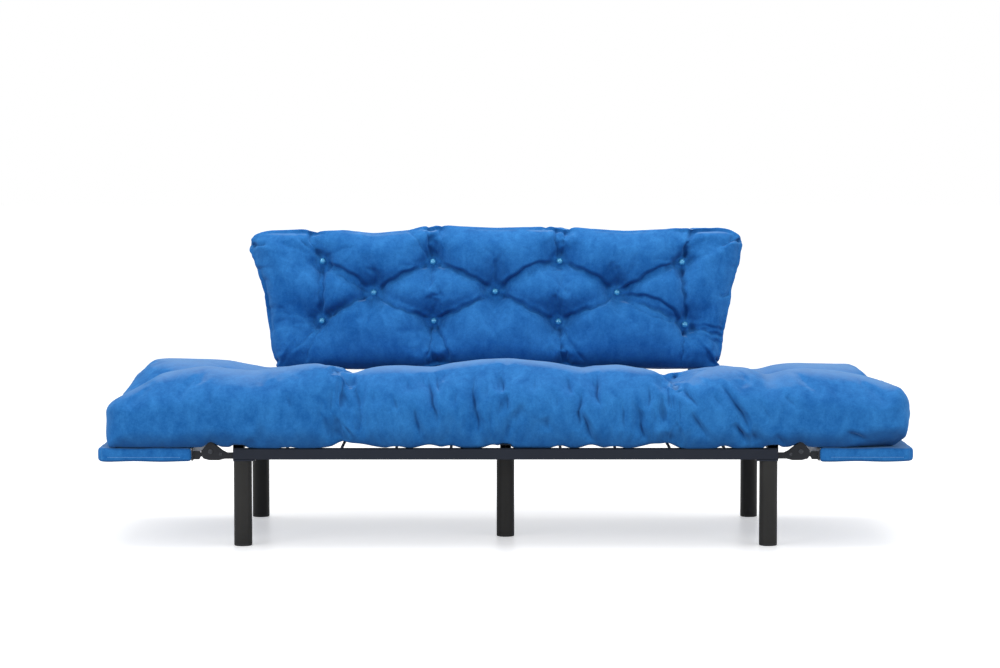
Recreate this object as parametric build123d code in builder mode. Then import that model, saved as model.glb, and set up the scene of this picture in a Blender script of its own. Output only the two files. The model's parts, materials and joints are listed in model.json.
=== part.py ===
"""Futon sofa bed: a welded tube frame on round legs, a leaning tube back, and two folding end
wings on ratchet hinges. A tufted mattress lies over the frame and both wings, and a tufted
cushion leans on the back. Lengths are in millimetres, +Z is up, the sitter faces -Y, and the
origin is on the floor under the middle of the sofa."""

import os
from math import cos, radians, sin

from build123d import *

# Driving dimensions of the frame and legs
FRAME_LENGTH = 1500.0
FRAME_DEPTH = 670.0
FRONT_Y = -400.4  # front face of the front rail
RAIL_SIZE = 30.0
RAIL_WALL = 2.0
LEG_DIAMETER = 50.0
LEG_WALL = 2.0
LEG_PLATE_SIZE = 60.0
LEG_PLATE_THICK = 4.0
RAIL_BASE_Z = 240.0
FOOT_HEIGHT = 6.0
FOOT_SPIGOT = 14.0
LEG_STUD_RADIUS = 5.0
CENTRE_LEG_SETBACK = 215.0  # the middle leg stands a third of the way back
CROSS_BAR_WIDTH = 30.0
CROSS_BAR_HEIGHT = 12.0
CROSS_BAR_WALL = 1.5
ROD_DIAMETER = 8.0
ROD_PITCH = 150.0
RODS_EACH_SIDE = 4

# Driving dimensions of the leaning back
BACK_LEAN = 10.0
UPRIGHT_X = 560.0
UPRIGHT_RADIUS = 12.5
UPRIGHT_WALL = 1.5
UPRIGHT_OFFSET = 22.0  # axis behind the rear rail, at the underside of the rail
UPRIGHT_LENGTH = 586.0
SOCKET_RADIUS = 15.5
SOCKET_LENGTH = 90.0
SOCKET_BOLT_AT = 60.0
LOWER_BAR_RADIUS = 10.0
LOWER_BAR_AT = 240.0
BACK_ROD_PITCH = 186.0
BACK_RODS = 5
STRAP_WIDTH = 30.0
STRAP_THICK = 2.0
STRAP_PITCH = 300.0
STRAPS = 4

# Driving dimensions of the hinges: u runs outwards from the pivot, v runs up
PIVOT_OUT = 63.0  # pivot beyond the end of the rails
PIVOT_Z = 262.0
WING_SWING = 75.0
HINGE_GAP = 12.0
CHEEK_THICK = 3.0
LEAF_THICK = 11.0
PAWL_THICK = 10.0
RATCHET_RADIUS = 19.5
TOOTH_DEPTH = 2.6
TOOTH_STEP = 15.0
PIVOT_PIN_RADIUS = 5.0
PAWL_PIN_RADIUS = 3.0
RUNNING_CLEARANCE = 0.06
PAWL_PIVOT = (-28.0, -8.0)
PAWL_TRAVEL = 10.0
CATCH_ANGLE = 232.0  # where the dropped pawl meets the ratchet, from the outward direction
TONGUE_LENGTH = 55.0

# Driving dimensions of the wings
WING_INNER = 51.0  # inner edge beyond the pivot
WING_WIDTH = 261.0
WING_BASE_Z = 234.0
WING_THICK = 38.0
WING_OVERHANG = 4.0
COVER_WALL = 2.0
BOARD_BASE_Z = 246.0
BOARD_THICK = 16.0

# Driving dimensions of the soft parts
MATTRESS_BASE_Z = 282.4
MATTRESS_FRONT_BULGE = 12.0
MATTRESS_END_X = 1108.0
CUSHION_BOTTOM_Z = 430.0
CUSHION_HEIGHT = 428.0
CUSHION_BOTTOM_WIDTH = 1320.0
CUSHION_TOP_WIDTH = 1480.0
CUSHION_SHIFT_X = -24.0
CUSHION_GAP = 15.3  # back of the cushion in front of the uprights' axis
BUTTON_RADIUS = 8.0
BUTTON_HEIGHT = 7.0
TWINE_RADIUS = 1.5
TUFT_HOLE_RADIUS = 2.2
TUFT_SEAT_RADIUS = 9.5
TUFT_MOUTH_RADIUS = 80.0
WASHER_RADIUS = 12.0
WASHER_THICK = 3.0

# Worked-out places
REAR_Y = FRONT_Y + FRAME_DEPTH
RAIL_TOP_Z = RAIL_BASE_Z + RAIL_SIZE
HALF_LENGTH = FRAME_LENGTH / 2
MIDDLE_Y = FRONT_Y + FRAME_DEPTH / 2
PIVOT_X = HALF_LENGTH + PIVOT_OUT
FRONT_HINGE_Y = FRONT_Y + RAIL_SIZE / 2
REAR_HINGE_Y = REAR_Y - RAIL_SIZE / 2
SIDES = {"left": -1, "right": 1}
HINGES = {"front": FRONT_HINGE_Y, "rear": REAR_HINGE_Y}
LEG_INSET = LEG_DIAMETER / 2
LEG_TOP_Z = RAIL_BASE_Z - LEG_PLATE_THICK
LEGS = {
    "front_left": (-HALF_LENGTH + LEG_INSET, FRONT_Y + LEG_INSET),
    "front_right": (HALF_LENGTH - LEG_INSET, FRONT_Y + LEG_INSET),
    "rear_left": (-HALF_LENGTH + LEG_INSET, REAR_Y - LEG_INSET),
    "rear_right": (HALF_LENGTH - LEG_INSET, REAR_Y - LEG_INSET),
    "centre": (0.0, FRONT_Y + CENTRE_LEG_SETBACK),
}
LEAN_UP = Vector(0, sin(radians(BACK_LEAN)), cos(radians(BACK_LEAN)))
LEAN_FORWARD = Vector(0, -cos(radians(BACK_LEAN)), sin(radians(BACK_LEAN)))
BACK_FOOT = Vector(0, REAR_Y + UPRIGHT_OFFSET, RAIL_BASE_Z)

os.makedirs("parts", exist_ok=True)


def save(part, name):
    """Labels one finished piece and writes it as its own file."""
    part.label = name
    export_step(part, f"parts/{name}.step")


def back_point(x, along, forward=0.0):
    """A point on the leaning back: along the lean from the foot, and in front of the uprights."""
    return Vector(x, 0, 0) + BACK_FOOT + LEAN_UP * along + LEAN_FORWARD * forward


def back_plane(x, along, forward=0.0):
    """A plane square to the uprights, whose normal runs up the lean."""
    return Plane(back_point(x, along, forward), x_dir=(1, 0, 0), z_dir=LEAN_UP)


def cross_plane(x, along):
    """A plane across the back, whose normal runs along +X."""
    return Plane(back_point(x, along), x_dir=(0, 1, 0), z_dir=(1, 0, 0))


def hinge_plane(side, y):
    """The plane of one hinge: u outwards, v up, with the pivot at its origin."""
    return Plane((side * PIVOT_X, y, PIVOT_Z), x_dir=(side, 0, 0), z_dir=(0, -side, 0))


# Long rails: square tube, drilled on the inner wall for the hinge screws
SCREW_U = (-PIVOT_OUT - 14.0, -PIVOT_OUT - 40.0)
SCREW_Z = PIVOT_Z - 12.0
SCREW_RADIUS = 3.0
for rail_name, rail_y, inward in (("front", FRONT_HINGE_Y, 1), ("rear", REAR_HINGE_Y, -1)):
    with BuildPart() as rail:
        with BuildSketch(Plane.YZ.offset(-HALF_LENGTH)):
            with Locations((rail_y, RAIL_BASE_Z + RAIL_SIZE / 2)):
                RectangleRounded(RAIL_SIZE, RAIL_SIZE, 2.5)
                Rectangle(RAIL_SIZE - 2 * RAIL_WALL, RAIL_SIZE - 2 * RAIL_WALL, mode=Mode.SUBTRACT)
        extrude(amount=FRAME_LENGTH)
        with BuildSketch(Plane.XZ.offset(-rail_y)):
            with Locations([(s * (PIVOT_X + u), SCREW_Z) for s in (-1, 1) for u in SCREW_U]):
                Circle(SCREW_RADIUS + 0.25)
        extrude(amount=-inward * RAIL_SIZE, mode=Mode.SUBTRACT)
    save(rail.part, f"{rail_name}_rail")

# Middle beam between the rails, over the middle leg
with BuildPart() as beam:
    with BuildSketch(Plane.XZ.offset(-(FRONT_Y + RAIL_SIZE))):
        with Locations((0, RAIL_BASE_Z + RAIL_SIZE / 2)):
            Rectangle(RAIL_SIZE, RAIL_SIZE)
            Rectangle(RAIL_SIZE - 2 * RAIL_WALL, RAIL_SIZE - 2 * RAIL_WALL, mode=Mode.SUBTRACT)
    extrude(amount=-(FRAME_DEPTH - 2 * RAIL_SIZE))
save(beam.part, "centre_beam")

# Flat cross bars lying on the rails at both ends and in the middle
CROSS_BARS = {
    "left": -HALF_LENGTH + CROSS_BAR_WIDTH / 2,
    "centre": 0.0,
    "right": HALF_LENGTH - CROSS_BAR_WIDTH / 2,
}
for bar_name, bar_x in CROSS_BARS.items():
    with BuildPart() as cross_bar:
        with BuildSketch(Plane.XZ.offset(-FRONT_Y - 2.0)):
            with Locations((bar_x, RAIL_TOP_Z + CROSS_BAR_HEIGHT / 2)):
                Rectangle(CROSS_BAR_WIDTH, CROSS_BAR_HEIGHT)
                Rectangle(
                    CROSS_BAR_WIDTH - 2 * CROSS_BAR_WALL,
                    CROSS_BAR_HEIGHT - 2 * CROSS_BAR_WALL,
                    mode=Mode.SUBTRACT,
                )
        extrude(amount=-(FRAME_DEPTH - 4.0))
    save(cross_bar.part, f"{bar_name}_cross_bar")

# Round rods lying on the rails between the cross bars
with BuildPart() as rods:
    with BuildSketch(Plane.XZ.offset(-FRONT_Y - 4.0)):
        rod_places = [
            (side * (ROD_PITCH * (i + 1)), RAIL_TOP_Z + ROD_DIAMETER / 2)
            for side in (-1, 1)
            for i in range(RODS_EACH_SIDE)
        ]
        with Locations(rod_places):
            Circle(ROD_DIAMETER / 2)
    extrude(amount=-(FRAME_DEPTH - 8.0))
save(rods.part, "support_rods")

# Legs: a plate under the frame, a stud, a round tube with a drilled top disc, and a foot cap
LEG_DISC_THICK = 5.0
STUD_LENGTH = 24.0


def plate_centre(leg):
    """The plate's middle: flush with the frame's corner, or centred on the middle leg."""
    x, y = LEGS[leg]
    shift = LEG_PLATE_SIZE / 2 - LEG_INSET
    if leg == "centre":
        return (x, y)
    return (x - shift * (1 if x > 0 else -1), y + shift * (1 if y < MIDDLE_Y else -1))


with BuildPart() as plates:
    with BuildSketch(Plane.XY.offset(LEG_TOP_Z)):
        with Locations([plate_centre(leg) for leg in LEGS]):
            RectangleRounded(LEG_PLATE_SIZE, LEG_PLATE_SIZE, 4)
        with Locations(list(LEGS.values())):
            Circle(LEG_STUD_RADIUS + 0.1, mode=Mode.SUBTRACT)
    extrude(amount=LEG_PLATE_THICK)
save(plates.part, "leg_plates")

with BuildPart() as studs:
    with BuildSketch(Plane.XY.offset(RAIL_BASE_Z - STUD_LENGTH)):
        with Locations(list(LEGS.values())):
            Circle(LEG_STUD_RADIUS)
    extrude(amount=STUD_LENGTH)
save(studs.part, "leg_studs")

for leg_name, leg_place in LEGS.items():
    with BuildPart() as leg_tube:
        with BuildSketch(Plane.XY.offset(FOOT_HEIGHT)):
            with Locations(leg_place):
                Circle(LEG_DIAMETER / 2)
        extrude(amount=LEG_TOP_Z - FOOT_HEIGHT)
        with BuildSketch(Plane.XY.offset(FOOT_HEIGHT)):
            with Locations(leg_place):
                Circle(LEG_DIAMETER / 2 - LEG_WALL)
        extrude(amount=LEG_TOP_Z - FOOT_HEIGHT - LEG_DISC_THICK, mode=Mode.SUBTRACT)
        with BuildSketch(Plane.XY.offset(FOOT_HEIGHT)):
            with Locations(leg_place):
                Circle(LEG_STUD_RADIUS + 0.1)
        extrude(amount=LEG_TOP_Z - FOOT_HEIGHT, mode=Mode.SUBTRACT)
    save(leg_tube.part, f"{leg_name}_leg")

with BuildPart() as feet:
    with BuildSketch():
        with Locations(list(LEGS.values())):
            Circle(LEG_DIAMETER / 2)
    extrude(amount=FOOT_HEIGHT)
    fillet(feet.edges().group_by(Axis.Z)[0], radius=3.0)
    with BuildSketch(Plane.XY.offset(FOOT_HEIGHT)):
        with Locations(list(LEGS.values())):
            Circle(LEG_DIAMETER / 2 - LEG_WALL - 0.1)
    extrude(amount=FOOT_SPIGOT)
save(feet.part, "foot_caps")

# Back: two sockets on the rear rail, two uprights, a top bar, a lower bar and rods between them
TOP_BAR_AT = UPRIGHT_LENGTH
BOLT_RADIUS = 3.0
with BuildPart() as sockets:
    for side in SIDES.values():
        with BuildSketch(Plane.XY.offset(RAIL_BASE_Z + 1.0)):
            with Locations((side * UPRIGHT_X, REAR_Y + UPRIGHT_OFFSET / 2)):
                Rectangle(12.0, UPRIGHT_OFFSET)
        extrude(amount=RAIL_SIZE - 2.0)
        with BuildSketch(back_plane(side * UPRIGHT_X, -8.0)):
            Circle(SOCKET_RADIUS)
        extrude(amount=SOCKET_LENGTH)
        with BuildSketch(back_plane(side * UPRIGHT_X, -4.0)):
            Circle(UPRIGHT_RADIUS + 0.2)
        extrude(amount=SOCKET_LENGTH, mode=Mode.SUBTRACT)
        with BuildSketch(cross_plane(side * UPRIGHT_X, SOCKET_BOLT_AT)):
            Circle(BOLT_RADIUS + 0.2)
        extrude(amount=SOCKET_RADIUS + 1, both=True, mode=Mode.SUBTRACT)
save(sockets.part, "back_sockets")

for side_name, side in SIDES.items():
    with BuildPart() as upright:
        with BuildSketch(back_plane(side * UPRIGHT_X, -3.8)):
            Circle(UPRIGHT_RADIUS)
            Circle(UPRIGHT_RADIUS - UPRIGHT_WALL, mode=Mode.SUBTRACT)
        extrude(amount=TOP_BAR_AT)
        with BuildSketch(cross_plane(side * UPRIGHT_X, SOCKET_BOLT_AT)):
            Circle(BOLT_RADIUS + 0.2)
        extrude(amount=UPRIGHT_RADIUS + 1, both=True, mode=Mode.SUBTRACT)
        with BuildSketch(cross_plane(side * UPRIGHT_X, TOP_BAR_AT)):
            Circle(UPRIGHT_RADIUS)
        extrude(amount=2 * UPRIGHT_RADIUS, both=True, mode=Mode.SUBTRACT)
    save(upright.part, f"back_{side_name}_upright")

with BuildPart() as top_bar:
    with BuildSketch(cross_plane(-UPRIGHT_X - 30.0, TOP_BAR_AT)):
        Circle(UPRIGHT_RADIUS)
        Circle(UPRIGHT_RADIUS - UPRIGHT_WALL, mode=Mode.SUBTRACT)
    extrude(amount=2 * UPRIGHT_X + 60.0)
save(top_bar.part, "back_top_bar")

with BuildPart() as bar_caps:
    for side in SIDES.values():
        with BuildSketch(cross_plane(side * (UPRIGHT_X + 30.0), TOP_BAR_AT)):
            Circle(UPRIGHT_RADIUS)
        extrude(amount=side * 4.0)
        with BuildSketch(cross_plane(side * (UPRIGHT_X + 30.0), TOP_BAR_AT)):
            Circle(UPRIGHT_RADIUS - UPRIGHT_WALL - 0.1)
        extrude(amount=-side * 12.0)
save(bar_caps.part, "back_bar_caps")

with BuildPart() as lower_bar:
    with BuildSketch(cross_plane(-UPRIGHT_X, LOWER_BAR_AT)):
        Circle(LOWER_BAR_RADIUS)
        Circle(LOWER_BAR_RADIUS - UPRIGHT_WALL, mode=Mode.SUBTRACT)
    extrude(amount=2 * UPRIGHT_X)
    for side in SIDES.values():
        with BuildSketch(back_plane(side * UPRIGHT_X, LOWER_BAR_AT - 30.0)):
            Circle(UPRIGHT_RADIUS)
        extrude(amount=60.0, mode=Mode.SUBTRACT)
save(lower_bar.part, "back_lower_bar")

with BuildPart() as back_rods:
    for i in range(BACK_RODS):
        rod_x = (i - (BACK_RODS - 1) / 2) * BACK_ROD_PITCH
        with BuildSketch(back_plane(rod_x, LOWER_BAR_AT)):
            Circle(ROD_DIAMETER / 2)
        extrude(amount=TOP_BAR_AT - LOWER_BAR_AT)
    with BuildSketch(cross_plane(-UPRIGHT_X, LOWER_BAR_AT)):
        Circle(LOWER_BAR_RADIUS)
    extrude(amount=2 * UPRIGHT_X, mode=Mode.SUBTRACT)
    with BuildSketch(cross_plane(-UPRIGHT_X, TOP_BAR_AT)):
        Circle(UPRIGHT_RADIUS)
    extrude(amount=2 * UPRIGHT_X, mode=Mode.SUBTRACT)
save(back_rods.part, "back_rods")

with BuildPart() as back_bolts:
    for side in SIDES.values():
        middle = side * UPRIGHT_X
        with BuildSketch(cross_plane(middle - SOCKET_RADIUS - 6.0, SOCKET_BOLT_AT)):
            Circle(BOLT_RADIUS)
        extrude(amount=2 * SOCKET_RADIUS + 14.0)
        with BuildSketch(cross_plane(middle - SOCKET_RADIUS - 5.0, SOCKET_BOLT_AT)):
            Circle(5.5)
        extrude(amount=4.6)
        with BuildSketch(cross_plane(middle + SOCKET_RADIUS + 0.4, SOCKET_BOLT_AT)):
            RegularPolygon(radius=5.8, side_count=6)
        extrude(amount=5.0)
save(back_bolts.part, "back_bolts")

with BuildPart() as straps:
    for i in range(STRAPS):
        strap_x = (i - (STRAPS - 1) / 2) * STRAP_PITCH + BACK_ROD_PITCH / 4
        with BuildSketch(cross_plane(strap_x - STRAP_WIDTH / 2, TOP_BAR_AT)):
            Circle(UPRIGHT_RADIUS + 0.2 + STRAP_THICK)
            Circle(UPRIGHT_RADIUS + 0.2, mode=Mode.SUBTRACT)
        extrude(amount=STRAP_WIDTH)
    for i in range(BACK_RODS):
        rod_x = (i - (BACK_RODS - 1) / 2) * BACK_ROD_PITCH
        with BuildSketch(back_plane(rod_x, LOWER_BAR_AT)):
            Circle(ROD_DIAMETER / 2 + 1.0)
        extrude(amount=TOP_BAR_AT - LOWER_BAR_AT, mode=Mode.SUBTRACT)
save(straps.part, "cushion_straps")


# Ratchet hinges
CHEEK_OUTLINE = [
    (-PIVOT_OUT, -19.9),
    (-40.0, -19.9),
    (-24.0, -24.0),
    (2.0, -24.0),
    (18.0, -20.0),
    (25.0, -11.0),
    (25.0, 2.0),
    (5.0, 25.0),
    (-5.0, 25.0),
    (-34.0, 2.0),
    (-46.0, -4.0),
    (-PIVOT_OUT, -4.0),
]
HUMP_TOP_V = 25.0
BASE_WIDTH = HINGE_GAP + 2 * CHEEK_THICK
TONGUE_WIDTH = 25.6
TONGUE_LOW_V = RAIL_BASE_Z + RAIL_WALL + 0.1 - PIVOT_Z
TONGUE_HEIGHT = 16.0
WEB_END_U = -44.0
STOP_U = (14.0, 20.0)
NECK_LOW_V = -14.0
NECK_HIGH_V = -4.0
ARM_U = 26.5  # the neck grows to a deep arm beyond the cheeks
ARM_LOW_V = -22.0
ARM_HIGH_V = 0.0
FLANGE_THICK = 3.0
FLANGE_LOW_V = -25.0
FLANGE_HIGH_V = 9.0
LEAF_TONGUE_LENGTH = 62.0
LEAF_TONGUE_THICK = 4.0
LEAF_TONGUE_WIDTH = 24.0
LEAF_SCREW_U = (WING_INNER + 20.0, WING_INNER + 46.0)


def hinge_base(side, y):
    """The fixed leaf: two cheeks round the ratchet, a floor, a stop, and a tongue in the rail."""
    plane = hinge_plane(side, y)
    with BuildPart() as base:
        with BuildSketch(plane.offset(-BASE_WIDTH / 2)) as cheek:
            with BuildLine():
                Polyline(*CHEEK_OUTLINE, close=True)
            make_face()
            fillet([v for v in cheek.vertices() if v.Y > HUMP_TOP_V - 1.0], radius=4.5)
            fillet([v for v in cheek.vertices() if v.X > 15.0], radius=5.0)
            Circle(PIVOT_PIN_RADIUS + 0.02, mode=Mode.SUBTRACT)
            with Locations(PAWL_PIVOT):
                Circle(PAWL_PIN_RADIUS + 0.02, mode=Mode.SUBTRACT)
        extrude(amount=BASE_WIDTH)
        with BuildSketch(plane.offset(-HINGE_GAP / 2)):
            with BuildLine():
                Polyline(
                    (-PIVOT_OUT + 1.0, -17.0),
                    (WEB_END_U, -17.0),
                    (WEB_END_U, -26.0),
                    (STOP_U[0], -26.0),
                    (STOP_U[0], NECK_LOW_V - 0.3),
                    (STOP_U[1], NECK_LOW_V - 0.3),
                    (STOP_U[1], -26.0),
                    (40.0, -26.0),
                    (40.0, 40.0),
                    (-PIVOT_OUT + 1.0, 40.0),
                    close=True,
                )
            make_face()
        extrude(amount=HINGE_GAP, mode=Mode.SUBTRACT)
        with BuildSketch(plane.offset(-TONGUE_WIDTH / 2)):
            with Locations((-PIVOT_OUT - TONGUE_LENGTH / 2, TONGUE_LOW_V + TONGUE_HEIGHT / 2)):
                Rectangle(TONGUE_LENGTH, TONGUE_HEIGHT)
            with Locations([(u, SCREW_Z - PIVOT_Z) for u in SCREW_U]):
                Circle(SCREW_RADIUS + 0.02, mode=Mode.SUBTRACT)
        extrude(amount=TONGUE_WIDTH)
    return base.part


def ratchet_point(angle, radius, across):
    """A point on the ratchet: out along the angle, then across it the way the wing rises."""
    turn = radians(angle)
    return (radius * cos(turn) - across * sin(turn), radius * sin(turn) + across * cos(turn))


def lifted(point):
    """A point of the pawl, moved from where it catches to where it is held clear."""
    turn = radians(-PAWL_TRAVEL)
    u = point[0] - PAWL_PIVOT[0]
    v = point[1] - PAWL_PIVOT[1]
    return (
        PAWL_PIVOT[0] + u * cos(turn) - v * sin(turn),
        PAWL_PIVOT[1] + u * sin(turn) + v * cos(turn),
    )


def ratchet_gap(angle):
    """One tooth gap: a steep catch flank on the one side and a long ramp on the other."""
    root = RATCHET_RADIUS - TOOTH_DEPTH
    tip = RATCHET_RADIUS + 0.6
    return [
        ratchet_point(angle, root, 0.5),
        ratchet_point(angle, tip, 0.5 + 0.45 * (tip - root)),
        ratchet_point(angle, tip, -0.5 - 0.8 * (tip - root)),
        ratchet_point(angle, root, -0.5),
    ]


def hinge_leaf(side, y):
    """The moving leaf: a toothed knuckle, a neck, an arm, a flange and a tongue under the board."""
    plane = hinge_plane(side, y)
    teeth = int(WING_SWING / TOOTH_STEP) + 1
    tongue_high_v = BOARD_BASE_Z - PIVOT_Z
    with BuildPart() as leaf:
        with BuildSketch(plane.offset(-LEAF_THICK / 2)):
            Circle(RATCHET_RADIUS)
            for i in range(teeth):
                with BuildLine():
                    Polyline(*ratchet_gap(CATCH_ANGLE - i * TOOTH_STEP), close=True)
                make_face(mode=Mode.SUBTRACT)
            with BuildLine():
                Polyline(
                    (0.0, NECK_LOW_V),
                    (ARM_U, NECK_LOW_V),
                    (ARM_U + 4.0, ARM_LOW_V),
                    (WING_INNER - FLANGE_THICK, ARM_LOW_V),
                    (WING_INNER - FLANGE_THICK, ARM_HIGH_V),
                    (ARM_U + 4.0, ARM_HIGH_V),
                    (ARM_U, NECK_HIGH_V),
                    (0.0, 12.0),
                    close=True,
                )
            make_face()
            Circle(PIVOT_PIN_RADIUS + RUNNING_CLEARANCE, mode=Mode.SUBTRACT)
        extrude(amount=LEAF_THICK)
        with BuildSketch(plane.offset(-LEAF_TONGUE_WIDTH / 2)):
            with BuildLine():
                Polyline(
                    (WING_INNER - FLANGE_THICK, FLANGE_LOW_V),
                    (WING_INNER - FLANGE_THICK, FLANGE_HIGH_V),
                    (WING_INNER, FLANGE_HIGH_V),
                    (WING_INNER, tongue_high_v),
                    (WING_INNER + LEAF_TONGUE_LENGTH, tongue_high_v),
                    (WING_INNER + LEAF_TONGUE_LENGTH, tongue_high_v - LEAF_TONGUE_THICK),
                    (WING_INNER, tongue_high_v - LEAF_TONGUE_THICK),
                    (WING_INNER, FLANGE_LOW_V),
                    close=True,
                )
            make_face()
        extrude(amount=LEAF_TONGUE_WIDTH)
        with BuildSketch(Plane((side * PIVOT_X, y, BOARD_BASE_Z - LEAF_TONGUE_THICK))):
            with Locations([(side * u, 0) for u in LEAF_SCREW_U]):
                Circle(2.7)
        extrude(amount=LEAF_TONGUE_THICK, mode=Mode.SUBTRACT)
    return leaf.part


def hinge_pawl(side, y):
    """The pawl, held clear of the teeth, with a nose, a boss round its pin and a tail."""
    plane = hinge_plane(side, y)
    tip = RATCHET_RADIUS - TOOTH_DEPTH + 0.3
    nose = [
        (-29.0, -12.6),
        (-15.0, -19.5),
        ratchet_point(CATCH_ANGLE, RATCHET_RADIUS + 0.7, 1.4),
        ratchet_point(CATCH_ANGLE, tip, 0.3),
        ratchet_point(CATCH_ANGLE, tip, -0.3),
        ratchet_point(CATCH_ANGLE, RATCHET_RADIUS + 0.7, -2.0),
        (-26.0, -4.0),
    ]
    with BuildPart() as pawl:
        with BuildSketch(plane.offset(-PAWL_THICK / 2)):
            with Locations(PAWL_PIVOT):
                Circle(5.5)
            with BuildLine():
                Polyline(*[lifted(point) for point in nose], close=True)
            make_face()
            with BuildLine():
                Polyline((-28.0, -12.0), (-41.0, -11.5), (-41.0, -7.5), (-28.0, -5.0), close=True)
            make_face()
            with Locations(PAWL_PIVOT):
                Circle(PAWL_PIN_RADIUS + RUNNING_CLEARANCE, mode=Mode.SUBTRACT)
        extrude(amount=PAWL_THICK)
    return pawl.part


for side_name, side in SIDES.items():
    for hinge_name, hinge_y in HINGES.items():
        hinge = f"{side_name}_{hinge_name}"
        save(hinge_base(side, hinge_y), f"{hinge}_hinge_base")
        save(hinge_leaf(side, hinge_y), f"{hinge}_hinge_leaf")
        save(hinge_pawl(side, hinge_y), f"{hinge}_pawl")

PIN_HEAD = 2.5
HINGE_PLANES = [hinge_plane(side, y) for side in SIDES.values() for y in HINGES.values()]


def headed_pins(place, radius, head_radius, head):
    """One pin in each hinge, with a head outside either cheek."""
    with BuildPart() as pins:
        for plane in HINGE_PLANES:
            with BuildSketch(plane.offset(-BASE_WIDTH / 2 - head)):
                with Locations(place):
                    Circle(radius)
            extrude(amount=BASE_WIDTH + 2 * head)
            for start in (-BASE_WIDTH / 2 - head, BASE_WIDTH / 2):
                with BuildSketch(plane.offset(start)):
                    with Locations(place):
                        Circle(head_radius)
                extrude(amount=head)
    return pins.part


save(headed_pins((0, 0), PIVOT_PIN_RADIUS, 6.5, PIN_HEAD), "hinge_pivot_pins")
save(headed_pins(PAWL_PIVOT, PAWL_PIN_RADIUS, 4.2, 1.5), "pawl_pins")

with BuildPart() as springs:
    for plane in HINGE_PLANES:
        with BuildSketch(plane.offset(-4.0)):
            with BuildLine():
                Polyline(
                    (-PIVOT_OUT + 1.0, -5.6),
                    (-46.0, -5.6),
                    (-38.0, -6.5),
                    (-38.0, -5.7),
                    (-46.0, -4.8),
                    (-PIVOT_OUT + 1.0, -4.8),
                    close=True,
                )
            make_face()
        extrude(amount=8.0)
save(springs.part, "pawl_springs")

with BuildPart() as hinge_screws:
    for side in SIDES.values():
        for hinge_y, inward in ((FRONT_HINGE_Y, 1), (REAR_HINGE_Y, -1)):
            places = [(side * (PIVOT_X + u), SCREW_Z) for u in SCREW_U]
            wall_y = hinge_y + inward * RAIL_SIZE / 2
            with BuildSketch(Plane.XZ.offset(-wall_y)):
                with Locations(places):
                    Circle(SCREW_RADIUS)
            extrude(amount=inward * 20.0)
            with BuildSketch(Plane.XZ.offset(-wall_y)):
                with Locations(places):
                    Circle(5.5)
            extrude(amount=-inward * 3.0)
save(hinge_screws.part, "hinge_screws")


# Wings: a board, a pad on top of it, and a sewn cover open along its inner edge
WING_FRONT_Y = FRONT_Y - WING_OVERHANG
WING_DEPTH = FRAME_DEPTH + 2 * WING_OVERHANG
BOARD_DEPTH = FRAME_DEPTH - 8.0
BOARD_TOP_Z = BOARD_BASE_Z + BOARD_THICK
PAD_TOP_Z = WING_BASE_Z + WING_THICK - COVER_WALL
SCREW_HEAD = 1.8


def wing_block(side, near, far, depth, low_z, high_z, corner, edge):
    """A flat block with rounded outer corners, at u from near to far beyond the pivot."""
    middle_x = side * (PIVOT_X + (near + far) / 2)
    outer_x = side * (PIVOT_X + far)
    with BuildPart() as block:
        with BuildSketch(Plane.XY.offset(low_z)) as outline:
            with Locations((middle_x, MIDDLE_Y)):
                Rectangle(far - near, depth)
            fillet([v for v in outline.vertices() if abs(v.X - outer_x) < 0.01], radius=corner)
        extrude(amount=high_z - low_z)
        if edge:
            rims = block.edges().filter_by(lambda e: abs(e.center().Z - low_z) < 0.01)
            rims += block.edges().filter_by(lambda e: abs(e.center().Z - high_z) < 0.01)
            inner_x = side * (PIVOT_X + near)
            fillet([e for e in rims if abs(e.center().X - inner_x) > 0.01], radius=edge)
    return block.part


for side_name, side in SIDES.items():
    board_far = WING_INNER + WING_WIDTH - 5.0
    screw_places = [(side * (PIVOT_X + u), y) for u in LEAF_SCREW_U for y in HINGES.values()]
    block = wing_block(side, WING_INNER + 1.0, board_far, BOARD_DEPTH, BOARD_BASE_Z, BOARD_TOP_Z, 28.0, 0)
    with BuildPart() as board:
        add(block)
        with BuildSketch(Plane.XY.offset(BOARD_BASE_Z)):
            with Locations(screw_places):
                Circle(2.5 + 0.02)
        extrude(amount=14.0, mode=Mode.SUBTRACT)
    save(board.part, f"{side_name}_wing_board")

    pad_far = board_far - 6.0
    pad_depth = BOARD_DEPTH - 12.0
    pad = wing_block(side, WING_INNER + 1.0, pad_far, pad_depth, BOARD_TOP_Z, PAD_TOP_Z - 0.2, 24.0, 0)
    save(pad, f"{side_name}_wing_pad")

    shell = wing_block(
        side,
        WING_INNER + 0.5,
        WING_INNER + WING_WIDTH,
        WING_DEPTH,
        WING_BASE_Z,
        WING_BASE_Z + WING_THICK,
        34.0,
        11.0,
    )
    hollow = wing_block(
        side,
        WING_INNER,
        WING_INNER + WING_WIDTH - COVER_WALL,
        WING_DEPTH - 2 * COVER_WALL,
        WING_BASE_Z + COVER_WALL,
        PAD_TOP_Z,
        32.0,
        9.0,
    )
    with BuildPart() as cover:
        add(shell)
        add(hollow, mode=Mode.SUBTRACT)
    save(cover.part, f"{side_name}_wing_cover")

    with BuildPart() as wing_screws:
        with BuildSketch(Plane.XY.offset(BOARD_BASE_Z - LEAF_TONGUE_THICK)):
            with Locations(screw_places):
                Circle(2.5)
        extrude(amount=LEAF_TONGUE_THICK + 14.0)
        with BuildSketch(Plane.XY.offset(BOARD_BASE_Z - LEAF_TONGUE_THICK - SCREW_HEAD)):
            with Locations(screw_places):
                Circle(5.0)
        extrude(amount=SCREW_HEAD)
    save(wing_screws.part, f"{side_name}_wing_screws")


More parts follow.
